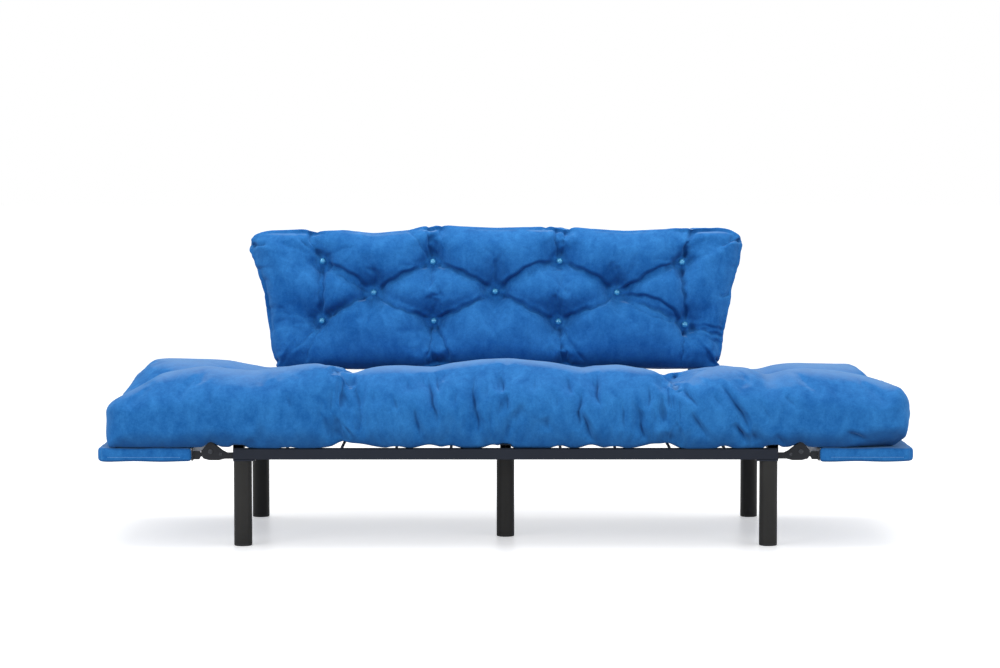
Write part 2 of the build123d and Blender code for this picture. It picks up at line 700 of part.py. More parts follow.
# Tufts: a button in a dimple, a twine through the filling and a washer behind it
def turned_piece(plane, *lines):
    """A round piece: the half outline is turned about the plane's normal."""
    with BuildPart() as piece:
        with BuildSketch(Plane(plane.origin, x_dir=plane.x_dir, z_dir=-plane.y_dir)):
            with BuildLine():
                add(lines)
            make_face()
        revolve(axis=Axis(plane.origin, plane.z_dir))
    return piece.part


def button(plane):
    """A domed button standing on the plane."""
    rim = BUTTON_RADIUS - 1.0
    return turned_piece(
        plane,
        Line((0, 0), (BUTTON_RADIUS - 1.5, 0)),
        ThreePointArc((BUTTON_RADIUS - 1.5, 0), (BUTTON_RADIUS, 2.0), (rim, 4.0)),
        ThreePointArc((rim, 4.0), (BUTTON_RADIUS * 0.6, 6.0), (1.5, BUTTON_HEIGHT)),
        Line((1.5, BUTTON_HEIGHT), (0, BUTTON_HEIGHT)),
        Line((0, BUTTON_HEIGHT), (0, 0)),
    )


def tuft_cut(plane, floor, mouth_height):
    """What one tuft takes out of the filling: a dimple down to the plane, a hole for the twine
    and a seat for the washer on the far face, which lies floor below the plane."""
    bend = TUFT_SEAT_RADIUS + (TUFT_MOUTH_RADIUS - TUFT_SEAT_RADIUS) * 0.35
    dimple = turned_piece(
        plane,
        Line((0, 0), (TUFT_SEAT_RADIUS, 0)),
        ThreePointArc(
            (TUFT_SEAT_RADIUS, 0),
            (bend, mouth_height * 0.55),
            (TUFT_MOUTH_RADIUS, mouth_height),
        ),
        Line((TUFT_MOUTH_RADIUS, mouth_height), (0, mouth_height)),
        Line((0, mouth_height), (0, 0)),
    )
    with BuildPart() as cut:
        add(dimple)
        with BuildSketch(plane.offset(1.0)):
            Circle(TUFT_HOLE_RADIUS)
        extrude(amount=-floor - 1.0)
        with BuildSketch(plane.offset(-floor - 1.0)):
            Circle(WASHER_RADIUS + 0.5)
        extrude(amount=WASHER_THICK + 1.3)
    return cut.part


def save_tufts(tufts, name):
    """Writes the buttons, twines and washers of one tufted piece. Each tuft is the plane at the
    bottom of its dimple and the distance from there down to the far face."""
    with BuildPart() as group:
        for plane, floor in tufts:
            add(button(plane.offset(0.2)))
    save(group.part, f"{name}_buttons")
    with BuildPart() as twines:
        for plane, floor in tufts:
            with BuildSketch(plane.offset(0.2)):
                Circle(TWINE_RADIUS)
            extrude(amount=WASHER_THICK - floor)
    save(twines.part, f"{name}_twines")
    with BuildPart() as washers:
        for plane, floor in tufts:
            with BuildSketch(plane.offset(0.2 - floor)):
                Circle(WASHER_RADIUS)
            extrude(amount=WASHER_THICK)
    save(washers.part, f"{name}_washers")


# Mattress: three lengths that meet at the ends of the frame, where the wings fold
MATTRESS_FRONT_Y = FRONT_Y + 2.0
MATTRESS_REAR_Y = REAR_Y - 8.0
MATTRESS_SPLIT_X = HALF_LENGTH
SPLIT_GAP = 0.4
CORNER_TOP = 52.0
CORNER_LOW = 26.0
END_BASE_Z = WING_BASE_Z + WING_THICK + 1.0  # the loft dips 0.6 below its slices


def mattress_section(x, crown, edge_drop=44.0, tuck=0.0, lift=0.0):
    """One slice across the mattress: flat below, bulged front and rear, crowned on top."""
    front = MATTRESS_FRONT_Y + tuck
    rear = MATTRESS_REAR_Y - tuck
    low = MATTRESS_BASE_Z + lift
    front_edge = crown - edge_drop
    rear_edge = crown - edge_drop - 12.0
    bulge = MATTRESS_FRONT_BULGE
    with BuildSketch(Plane.YZ.offset(x)) as slice_face:
        with BuildLine():
            Line((front, low), (rear, low))
            ThreePointArc((rear, low), (rear + bulge, (low + rear_edge) / 2), (rear, rear_edge))
            ThreePointArc((rear, rear_edge), ((front + rear) / 2, crown), (front, front_edge))
            ThreePointArc((front, front_edge), (front - bulge, (low + front_edge) / 2), (front, low))
        make_face()
        height = rear_edge - low
        top_radius = min(CORNER_TOP, 0.4 * height)
        low_radius = min(CORNER_LOW, 0.2 * height)
        fillet([v for v in slice_face.vertices() if v.Y > low + 1.0], radius=top_radius)
        fillet([v for v in slice_face.vertices() if v.Y < low + 0.1], radius=low_radius)
    return slice_face.sketch


CENTRE_SLICES = [
    (-750.0, 474.0),
    (-600.0, 484.0),
    (-450.0, 468.0),
    (-225.0, 480.0),
    (0.0, 490.0),
    (225.0, 480.0),
    (450.0, 468.0),
    (600.0, 484.0),
    (750.0, 474.0),
]
SEAT_TUFTS = [
    (-450.0, 150.0, 62.0),
    (450.0, 150.0, 62.0),
    (-680.0, 330.0, 52.0),
    (-225.0, 330.0, 55.0),
    (225.0, 330.0, 55.0),
    (680.0, 330.0, 52.0),
    (-450.0, 500.0, 55.0),
    (0.0, 500.0, 55.0),
    (450.0, 500.0, 55.0),
]
SEAT_TOP_Z = 478.0
seat_tufts = [
    (Plane((x, FRONT_Y + back, SEAT_TOP_Z - depth)), SEAT_TOP_Z - depth - MATTRESS_BASE_Z)
    for x, back, depth in SEAT_TUFTS
]

with BuildPart() as mattress:
    loft([mattress_section(*place) for place in CENTRE_SLICES])
    for tuft_plane, tuft_floor in seat_tufts:
        add(tuft_cut(tuft_plane, tuft_floor, 82.0), mode=Mode.SUBTRACT)
save(mattress.part, "seat_mattress")
save_tufts(seat_tufts, "seat")

END_SLICES = [
    (MATTRESS_SPLIT_X + SPLIT_GAP, 474.0, 44.0, 0.0, 0.0),
    (850.0, 484.0, 44.0, 2.0, 0.0),
    (950.0, 482.0, 48.0, 4.0, 0.0),
    (1040.0, 464.0, 52.0, 6.0, 2.0),
    (1085.0, 434.0, 50.0, 10.0, 10.0),
    (MATTRESS_END_X, 400.0, 30.0, 26.0, 24.0),
]
HUMP_RELIEF_U = (-48.0, 34.0)
HUMP_RELIEF_TOP = 27.0
for side_name, side in SIDES.items():
    with BuildPart() as mattress_end:
        slices = [
            mattress_section(side * x, crown, drop, tuck, END_BASE_Z - MATTRESS_BASE_Z + lift)
            for x, crown, drop, tuck, lift in END_SLICES
        ]
        loft(slices)
        for hinge_y in HINGES.values():
            with BuildSketch(hinge_plane(side, hinge_y).offset(-RAIL_SIZE)):
                with Locations((sum(HUMP_RELIEF_U) / 2, 0)):
                    Rectangle(HUMP_RELIEF_U[1] - HUMP_RELIEF_U[0], 2 * HUMP_RELIEF_TOP)
            extrude(amount=2 * RAIL_SIZE, mode=Mode.SUBTRACT)
    save(mattress_end.part, f"{side_name}_mattress_end")


# Back cushion: a tufted pillow, wider at the top, leaning on the bars
CUSHION_ALONG = (CUSHION_BOTTOM_Z - RAIL_BASE_Z) / cos(radians(BACK_LEAN))
CUSHION_PLANE = Plane(
    back_point(CUSHION_SHIFT_X, CUSHION_ALONG, CUSHION_GAP), x_dir=(1, 0, 0), z_dir=LEAN_FORWARD
)
CUSHION_SLICES = [
    (0.0, 46.0, 60.0),
    (28.0, 10.0, 46.0),
    (60.0, 0.0, 40.0),
    (98.0, 20.0, 50.0),
    (126.0, 66.0, 60.0),
    (140.0, 130.0, 60.0),
]


def cushion_section(height, inset, corner):
    """One slice of the cushion: a trapezium with drawn-in sides and rounded corners."""
    low = CUSHION_BOTTOM_WIDTH / 2 - inset
    high = CUSHION_TOP_WIDTH / 2 - inset
    top = CUSHION_HEIGHT - inset
    with BuildSketch(CUSHION_PLANE.offset(height)) as slice_face:
        with BuildLine():
            ThreePointArc((-low, inset), (0, inset + 8.0), (low, inset))
            ThreePointArc((low, inset), ((low + high) / 2 - 12.0, CUSHION_HEIGHT / 2), (high, top))
            ThreePointArc((high, top), (0, top - 10.0), (-high, top))
            ThreePointArc((-high, top), (12.0 - (low + high) / 2, CUSHION_HEIGHT / 2), (-low, inset))
        make_face()
        fillet(slice_face.vertices(), radius=corner)
    return slice_face.sketch


CUSHION_TUFTS = [
    (-519.0, 138.0),
    (-187.0, 138.0),
    (183.0, 136.0),
    (558.0, 127.0),
    (-366.0, 223.0),
    (-5.0, 226.0),
    (357.0, 223.0),
    (-518.0, 317.0),
    (-190.0, 315.0),
    (187.0, 317.0),
    (551.0, 314.0),
]
CUSHION_TUFT_HEIGHT = 72.0
cushion_tufts = [
    (
        Plane(
            CUSHION_PLANE.from_local_coords((x, y, CUSHION_TUFT_HEIGHT)),
            x_dir=(1, 0, 0),
            z_dir=LEAN_FORWARD,
        ),
        CUSHION_TUFT_HEIGHT,
    )
    for x, y in CUSHION_TUFTS
]

with BuildPart() as cushion:
    loft([cushion_section(*place) for place in CUSHION_SLICES])
    for tuft_plane, tuft_floor in cushion_tufts:
        add(tuft_cut(tuft_plane, tuft_floor, 80.0), mode=Mode.SUBTRACT)
save(cushion.part, "back_cushion")
save_tufts(cushion_tufts, "back")
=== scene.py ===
"""Looks of the futon sofa bed: stuffed and tufted soft parts, painted steel, floor, light, camera."""

import json
import logging
import math
from dataclasses import dataclass
from enum import Enum
from typing import Any, Optional, Union

import bmesh
import bpy
import numpy as np
from mathutils import Matrix, Vector


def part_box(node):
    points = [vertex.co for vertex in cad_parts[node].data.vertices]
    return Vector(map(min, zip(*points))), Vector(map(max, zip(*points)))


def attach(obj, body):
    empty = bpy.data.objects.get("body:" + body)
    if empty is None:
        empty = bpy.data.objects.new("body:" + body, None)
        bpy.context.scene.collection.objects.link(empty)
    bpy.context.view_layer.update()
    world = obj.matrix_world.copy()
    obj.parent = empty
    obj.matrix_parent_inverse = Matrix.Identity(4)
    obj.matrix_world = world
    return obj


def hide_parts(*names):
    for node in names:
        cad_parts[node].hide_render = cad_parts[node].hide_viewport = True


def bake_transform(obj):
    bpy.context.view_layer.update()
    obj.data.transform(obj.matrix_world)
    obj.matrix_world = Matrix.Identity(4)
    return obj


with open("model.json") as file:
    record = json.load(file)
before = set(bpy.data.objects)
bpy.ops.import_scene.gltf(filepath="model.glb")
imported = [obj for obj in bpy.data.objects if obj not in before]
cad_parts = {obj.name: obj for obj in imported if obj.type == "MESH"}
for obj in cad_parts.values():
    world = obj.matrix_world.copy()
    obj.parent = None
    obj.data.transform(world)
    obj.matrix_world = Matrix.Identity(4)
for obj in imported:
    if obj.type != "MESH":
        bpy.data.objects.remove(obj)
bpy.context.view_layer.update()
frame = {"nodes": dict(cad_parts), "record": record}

log = logging.getLogger("sofa_bed")

Colour = tuple[float, float, float]
Point = tuple[float, float, float]

FRONT_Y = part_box("front_rail")[0][1]
REAR_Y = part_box("rear_rail")[1][1]
LEAN = math.radians(10.0)  # of the back
RAIL_REST = 0.2702  # how low the mattress lies on the front rail, on the frame and in front of the rail
FRAME_REST = 0.2722
HEM_REST = 0.2675
ROD_REST = 0.2785  # and on the rods and the cross bars
BAR_REST = 0.2825
ROD_PLACES = (0.150, 0.300, 0.450, 0.600)
RAIL_END = 0.752
HINGE_X = 0.813
HINGE_Z = 0.262


class Side(Enum):
    """The two ends of the sofa, with the sign of X at each."""

    LEFT = -1
    RIGHT = 1

    @property
    def word(self) -> str:
        """The side's name as the pieces use it."""
        return self.name.lower()


class Wire:
    """A shader socket that takes part in sums."""

    def __init__(self, paint: "Paint", socket: bpy.types.NodeSocket) -> None:
        """Keeps the socket and the paint that it belongs to."""
        self.paint = paint
        self.socket = socket

    def sum_with(self, operation: str, first: Any, second: Any, third: Any = None) -> "Wire":
        """Adds one Math node.

        Args:
            operation: The Math node's operation.
            first: Its first value or wire.
            second: Its second value or wire.
            third: Its third value, where the operation has one.

        Returns:
            The wire of its result.
        """
        values = {0: first, 1: second}
        if third is not None:
            values[2] = third
        return self.paint.node("ShaderNodeMath", {"operation": operation}, values)

    def __add__(self, other: Any) -> "Wire":
        """This plus another."""
        return self.sum_with("ADD", self, other)

    __radd__ = __add__

    def __sub__(self, other: Any) -> "Wire":
        """This less another."""
        return self.sum_with("SUBTRACT", self, other)

    def __rsub__(self, other: Any) -> "Wire":
        """Another less this."""
        return self.sum_with("SUBTRACT", other, self)

    def __mul__(self, other: Any) -> "Wire":
        """This times another."""
        return self.sum_with("MULTIPLY", self, other)

    __rmul__ = __mul__

    def __truediv__(self, other: Any) -> "Wire":
        """This over another."""
        return self.sum_with("DIVIDE", self, other)

    def __pow__(self, other: Any) -> "Wire":
        """This to a power."""
        return self.sum_with("POWER", self, other)

    def span(self, low: float, high: float) -> "Wire":
        """This, set to 0 at low and 1 at high, and held between them.

        Args:
            low: The value that becomes 0.
            high: The value that becomes 1.

        Returns:
            The new wire.
        """
        return self.paint.node(
            "ShaderNodeMapRange",
            {"clamp": True},
            {"Value": self, "From Min": low, "From Max": high},
        )


class Paint:
    """One material and the nodes in it."""

    def __init__(self, name: str) -> None:
        """Starts an empty material with its shader and output."""
        self.material = bpy.data.materials.new(name)
        self.material.use_nodes = True
        self.tree = self.material.node_tree
        self.tree.nodes.clear()
        self.shader = self.tree.nodes.new("ShaderNodeBsdfPrincipled")
        output = self.tree.nodes.new("ShaderNodeOutputMaterial")
        self.tree.links.new(self.shader.outputs[0], output.inputs["Surface"])
        self.place = self.node("ShaderNodeTexCoord", output="Object")

    def fill(self, node: bpy.types.Node, key: Union[int, str], value: Any) -> None:
        """Sets one socket of a node, or links it.

        Args:
            node: The node.
            key: The socket's name or number.
            value: A number, a colour, a vector or a wire.
        """
        socket = node.inputs[key]
        if isinstance(value, Wire):
            self.tree.links.new(value.socket, socket)
        elif socket.type == "RGBA" and len(value) == 3:
            socket.default_value = (*value, 1.0)
        else:
            socket.default_value = value

    def node(
        self,
        kind: str,
        settings: Optional[dict[str, Any]] = None,
        inputs: Optional[dict[Union[int, str], Any]] = None,
        output: Union[int, str] = 0,
    ) -> Wire:
        """Adds a node of any kind.

        Args:
            kind: The node's type.
            settings: Its settings, which are set first.
            inputs: The values or wires of its sockets.
            output: The socket to return.

        Returns:
            The wire of that output.
        """
        node = self.tree.nodes.new(kind)
        for key, value in (settings or {}).items():
            setattr(node, key, value)
        for key, value in (inputs or {}).items():
            self.fill(node, key, value)
        return Wire(self, node.outputs[output])

    def clouds(self, scale: float, detail: float = 3.0, rough: float = 0.55, warp: float = 0.0) -> Wire:
        """A noise pattern on the piece.

        Args:
            scale: How many clouds fit in a metre.
            detail: How many finer layers it has.
            rough: How strong the finer layers are.
            warp: How far it is twisted.

        Returns:
            The wire of its value, around one half.
        """
        inputs = {
            "Vector": self.place, "Scale": scale, "Detail": detail, "Roughness": rough, "Distortion": warp,
        }
        return self.node("ShaderNodeTexNoise", None, inputs, "Fac")

    def stretched(self, scale: Point, detail: float = 2.0, warp: float = 0.0) -> Wire:
        """A noise pattern drawn out along the axes.

        Args:
            scale: How many clouds fit in a metre along each axis.
            detail: How many finer layers it has.
            warp: How far it is twisted.

        Returns:
            The wire of its value.
        """
        vector = self.node("ShaderNodeMapping", None, {"Vector": self.place, "Scale": scale})
        inputs = {"Vector": vector, "Scale": 1.0, "Detail": detail, "Distortion": warp}
        return self.node("ShaderNodeTexNoise", None, inputs, "Fac")

    def mix(self, factor: Any, low: Any, high: Any) -> Wire:
        """A colour between two others.

        Args:
            factor: The share of the second.
            low: The first colour.
            high: The second colour.

        Returns:
            The wire of the colour.
        """
        return self.node(
            "ShaderNodeMix",
            {"data_type": "RGBA"},
            {0: factor, 6: low, 7: high},
            2,
        )

    def attribute(self, name: str) -> Wire:
        """A value that the piece's mesh carries.

        Args:
            name: The attribute's name.

        Returns:
            The wire of its value.
        """
        return self.node("ShaderNodeAttribute", {"attribute_name": name}, None, "Fac")

    def relief(self, height: Wire, depth: float, strength: float = 1.0, under: Optional[Wire] = None) -> Wire:
        """A bump.

        Args:
            height: The pattern.
            depth: The pattern's full height in metres.
            strength: How much of it shows.
            under: A bump that lies below this one.

        Returns:
            The wire of the new normal.
        """
        inputs: dict[Union[int, str], Any] = {"Height": height, "Distance": depth, "Strength": strength}
        if under is not None:
            inputs["Normal"] = under
        return self.node("ShaderNodeBump", None, inputs)

    def dress(self, **sockets: Any) -> bpy.types.Material:
        """Sets the shader's sockets, whose spaces are written as underscores.

        Args:
            **sockets: The values and wires.

        Returns:
            The finished material.
        """
        for key, value in sockets.items():
            self.fill(self.shader, key.replace("_", " "), value)
        return self.material


@dataclass(frozen=True)
class Velvet:
    """Brushed microfibre with a mottled nap and a soft sheen; painted shade in its folds and underneath,
    painted highlight on ridges and tops.
    """

    name: str = "blue_velvet"
    shade: Colour = (0.0001, 0.029, 0.132)
    body: Colour = (0.0042, 0.108, 0.370)
    light: Colour = (0.030, 0.212, 0.560)
    # pale colour painted on faces that turn up, as a painted highlight
    bloom: Colour = (0.190, 0.310, 0.520)
    # switches on the painted shade and highlight keyed to folds and to which way faces turn
    folds: bool = True

    def make(self) -> bpy.types.Material:
        """Builds the material.

        Returns:
            The material.
        """
        paint = Paint(self.name)
        drift = paint.clouds(7.0, 4.0, 0.6, 0.6)
        nap = paint.clouds(46.0, 4.0, 0.62, 0.9)
        streak = paint.stretched((27.0, 27.0, 13.0), 4.0, 0.7)
        grain = paint.clouds(170.0, 3.0, 0.6, 0.4)
        fibre = paint.clouds(620.0, 2.0)
        tone = (drift * 0.22 + nap * 0.24 + streak * 0.34 + grain * 0.20).span(0.38, 0.62)
        colour = paint.mix(tone, self.body, self.light)
        colour = paint.mix(fibre.span(0.3, 0.75) * 0.25, colour, self.shade)
        # painted light and shade, keyed to the fold and upward attributes
        if self.folds:
            fold = paint.attribute("fold")
            upward = paint.attribute("upward")
            # painted highlight: faces that turn up are mixed towards the bloom colour
            colour = paint.mix(upward.span(0.86, 1.0) * 0.48, colour, self.bloom)
            # painted shade on faces that turn down
            colour = paint.mix((0.0 - upward).span(0.12, 0.80) * 0.72, colour, self.shade)
            # painted shade in folds and hollows
            colour = paint.mix(fold.span(0.52, 0.79) * 0.88, colour, self.shade)
            # painted highlight on ridges
            colour = paint.mix((1.0 - fold).span(0.55, 1.0) * 0.2, colour, self.light)
        crush = paint.relief(paint.clouds(60.0, 3.0, 0.6, 0.4), 0.0016, 0.55)
        pile = paint.relief(fibre, 0.0006, 0.5, crush)
        return paint.dress(
            Base_Color=colour,
            Roughness=0.78 + 0.14 * nap,
            Normal=pile,
            Sheen_Weight=0.20,
            Sheen_Roughness=0.45,
            Sheen_Tint=(0.30, 0.66, 1.0),
            Specular_IOR_Level=0.2,
        )


@dataclass(frozen=True)
class PowderCoat:
    """Baked paint on steel: a fine orange peel, with the colour a little uneven."""

    name: str
    colour: Colour
    pale: Colour
    rough: float = 0.42

    def make(self) -> bpy.types.Material:
        """Builds the material.

        Returns:
            The material.
        """
        paint = Paint(self.name)
        smear = paint.clouds(9.0, 4.0, 0.6, 0.5)
        peel = paint.clouds(900.0, 2.0)
        speck = paint.clouds(240.0, 3.0).span(0.62, 0.74)
        colour = paint.mix(smear.span(0.35, 0.7) * 0.7 + speck * 0.25, self.colour, self.pale)
        return paint.dress(
            Base_Color=colour,
            Roughness=self.rough + 0.16 * smear,
            Normal=paint.relief(peel, 0.0004, 0.35),
            Specular_IOR_Level=0.32,
        )


@dataclass(frozen=True)
class Plated:
    """Black zinc-plated steel with a fine grain."""

    name: str = "black_zinc_plated"
    colour: Colour = (0.085, 0.090, 0.100)
    dull: Colour = (0.045, 0.048, 0.055)

    def make(self) -> bpy.types.Material:
        """Builds the material.

        Returns:
            The material.
        """
        paint = Paint(self.name)
        grain = paint.stretched((90.0, 900.0, 300.0), 3.0)
        bloom = paint.clouds(120.0, 3.0, 0.6, 0.4)
        colour = paint.mix(bloom.span(0.3, 0.7), self.colour, self.dull)
        return paint.dress(
            Base_Color=colour,
            Metallic=1.0,
            Roughness=0.28 + 0.22 * bloom,
            Normal=paint.relief(grain, 0.0002, 0.3),
        )


@dataclass(frozen=True)
class Pearl:
    """Polished pearl lacquer on a button, in slow swirls."""

    name: str = "pearl_turquoise"
    deep: Colour = (0.018, 0.22, 0.50)
    bright: Colour = (0.10, 0.50, 0.78)

    def make(self) -> bpy.types.Material:
        """Builds the material.

        Returns:
            The material.
        """
        paint = Paint(self.name)
        swirl = paint.clouds(160.0, 3.0, 0.5, 2.5)
        colour = paint.mix(swirl.span(0.32, 0.68), self.deep, self.bright)
        return paint.dress(
            Base_Color=colour,
            Metallic=0.25,
            Roughness=0.16 + 0.08 * swirl,
            Coat_Weight=0.8,
            Coat_Roughness=0.06,
        )


@dataclass(frozen=True)
class Moulded:
    """Moulded plastic with a spark-eroded grain."""

    name: str
    colour: Colour

    def make(self) -> bpy.types.Material:
        """Builds the material.

        Returns:
            The material.
        """
        paint = Paint(self.name)
        grain = paint.clouds(1400.0, 2.0)
        scuff = paint.clouds(40.0, 4.0, 0.65, 0.8).span(0.55, 0.8)
        colour = paint.mix(scuff * 0.35, self.colour, tuple(min(1.0, c * 2.2 + 0.01) for c in self.colour))
        return paint.dress(
            Base_Color=colour,
            Roughness=0.5 + 0.18 * scuff,
            Normal=paint.relief(grain, 0.0003, 0.4),
        )


@dataclass(frozen=True)
class Woven:
    """Plain-woven cloth, as wadding, webbing or twine."""

    name: str
    colour: Colour
    shade: Colour
    pitch: float = 700.0

    def make(self) -> bpy.types.Material:
        """Builds the material.

        Returns:
            The material.
        """
        paint = Paint(self.name)
        warp = paint.stretched((self.pitch, self.pitch * 0.15, self.pitch * 0.15), 1.0)
        weft = paint.stretched((self.pitch * 0.15, self.pitch, self.pitch), 1.0)
        weave = (warp * 0.5 + weft * 0.5).span(0.35, 0.65)
        colour = paint.mix(weave, self.shade, self.colour)
        return paint.dress(
            Base_Color=colour,
            Roughness=0.9 - 0.08 * weave,
            Normal=paint.relief(weave, 0.0006, 0.6),
        )


@dataclass(frozen=True)
class Chipboard:
    """Pressed wood chips."""

    name: str = "chipboard"

    def make(self) -> bpy.types.Material:
        """Builds the material.

        Returns:
            The material.
        """
        paint = Paint(self.name)
        chips = paint.node(
            "ShaderNodeTexVoronoi", None, {"Vector": paint.place, "Scale": 260.0, "Randomness": 1.0}, "Color"
        )
        tone = paint.node("ShaderNodeSeparateColor", None, {"Color": chips}, "Red")
        colour = paint.mix(tone, (0.30, 0.18, 0.09), (0.58, 0.42, 0.25))
        return paint.dress(
            Base_Color=colour,
            Roughness=0.7 + 0.2 * tone,
            Normal=paint.relief(tone, 0.0006, 0.4),
        )


class Pleat(Enum):
    """How strong a fold in the cloth is: its depth and its half width."""

    DEEP = (0.0078, 0.0042)
    MIDDLE = (0.0050, 0.0042)
    SLIGHT = (0.0026, 0.0050)


@dataclass(frozen=True)
class Fold:
    """One fold in stretched cloth, drawn on a plane as a run of points."""

    pleat: Pleat
    line: tuple[tuple[float, float], ...]

    def path(self) -> np.ndarray:
        """The fold's line with its corners cut round.

        Returns:
            The points along it.
        """
        points = np.array(self.line)
        for _ in range(3 if len(points) > 2 else 0):
            early = 0.75 * points[:-1] + 0.25 * points[1:]
            late = 0.25 * points[:-1] + 0.75 * points[1:]
            middle = np.stack([early, late], axis=1).reshape(-1, 2)[1:-1]
            points = np.vstack([points[:1], middle, points[-1:]])
        return points

    def longer(self, growth: float) -> "Fold":
        """The same fold, drawn out about its middle.

        Args:
            growth: How many times its length.

        Returns:
            The new fold.
        """
        points = np.array(self.line)
        middle = points.mean(axis=0)
        return Fold(self.pleat, tuple(map(tuple, middle + (points - middle) * growth)))

    def press(
        self, plan: np.ndarray, spread: float = 1.0, power: float = 1.3, fading: bool = False
    ) -> np.ndarray:
        """How far the fold lifts the cloth, which is below zero in its valley.

        Args:
            plan: Points of the fold's plane, as rows of two.
            spread: How much wider than usual the fold is.
            power: How round its valley is: 1 is sharp and 2 is soft.
            fading: Whether it runs out slowly at both ends.

        Returns:
            The lift at each point.
        """
        depth, width = self.pleat.value
        width *= spread
        run = self.path()
        lift = np.zeros(len(plan))
        near = np.all((plan > run.min(0) - 6.0 * width) & (plan < run.max(0) + 6.0 * width), axis=1)
        spots = plan[near]
        if len(spots) == 0:
            return lift
        steps = np.linalg.norm(np.diff(run, axis=0), axis=1)
        best = np.full(len(spots), 1e9)
        side = np.zeros(len(spots))
        share = np.zeros(len(spots))
        done = 0.0
        for first, last, step in zip(run[:-1], run[1:], steps):
            way = (last - first) / step
            along = np.clip((spots - first) @ way, 0.0, step)
            off = spots - first - along[:, None] * way
            gap = np.linalg.norm(off, axis=1)
            better = gap < best
            side = np.where(better, off[:, 0] * way[1] - off[:, 1] * way[0], side)
            share = np.where(better, (done + along) / steps.sum(), share)
            best = np.where(better, gap, best)
            done += step
        gap = best / width
        taper = np.clip(0.4 + 5.0 * share, 0.0, 1.0) * np.clip(0.25 + 4.0 * (1.0 - share), 0.0, 1.0)
        if fading:
            taper = np.maximum(np.sin(math.pi * share), 0.0) ** 1.2
        gentle = np.where(side > 0.0, 0.42, 1.0)
        lips = np.where(side > 0.0, 0.0, 0.16 * np.exp(-(((gap - 2.4) / 1.3) ** 2)))
        lift[near] = depth * taper * (lips - np.exp(-((gap * gentle) ** power)))
        return lift


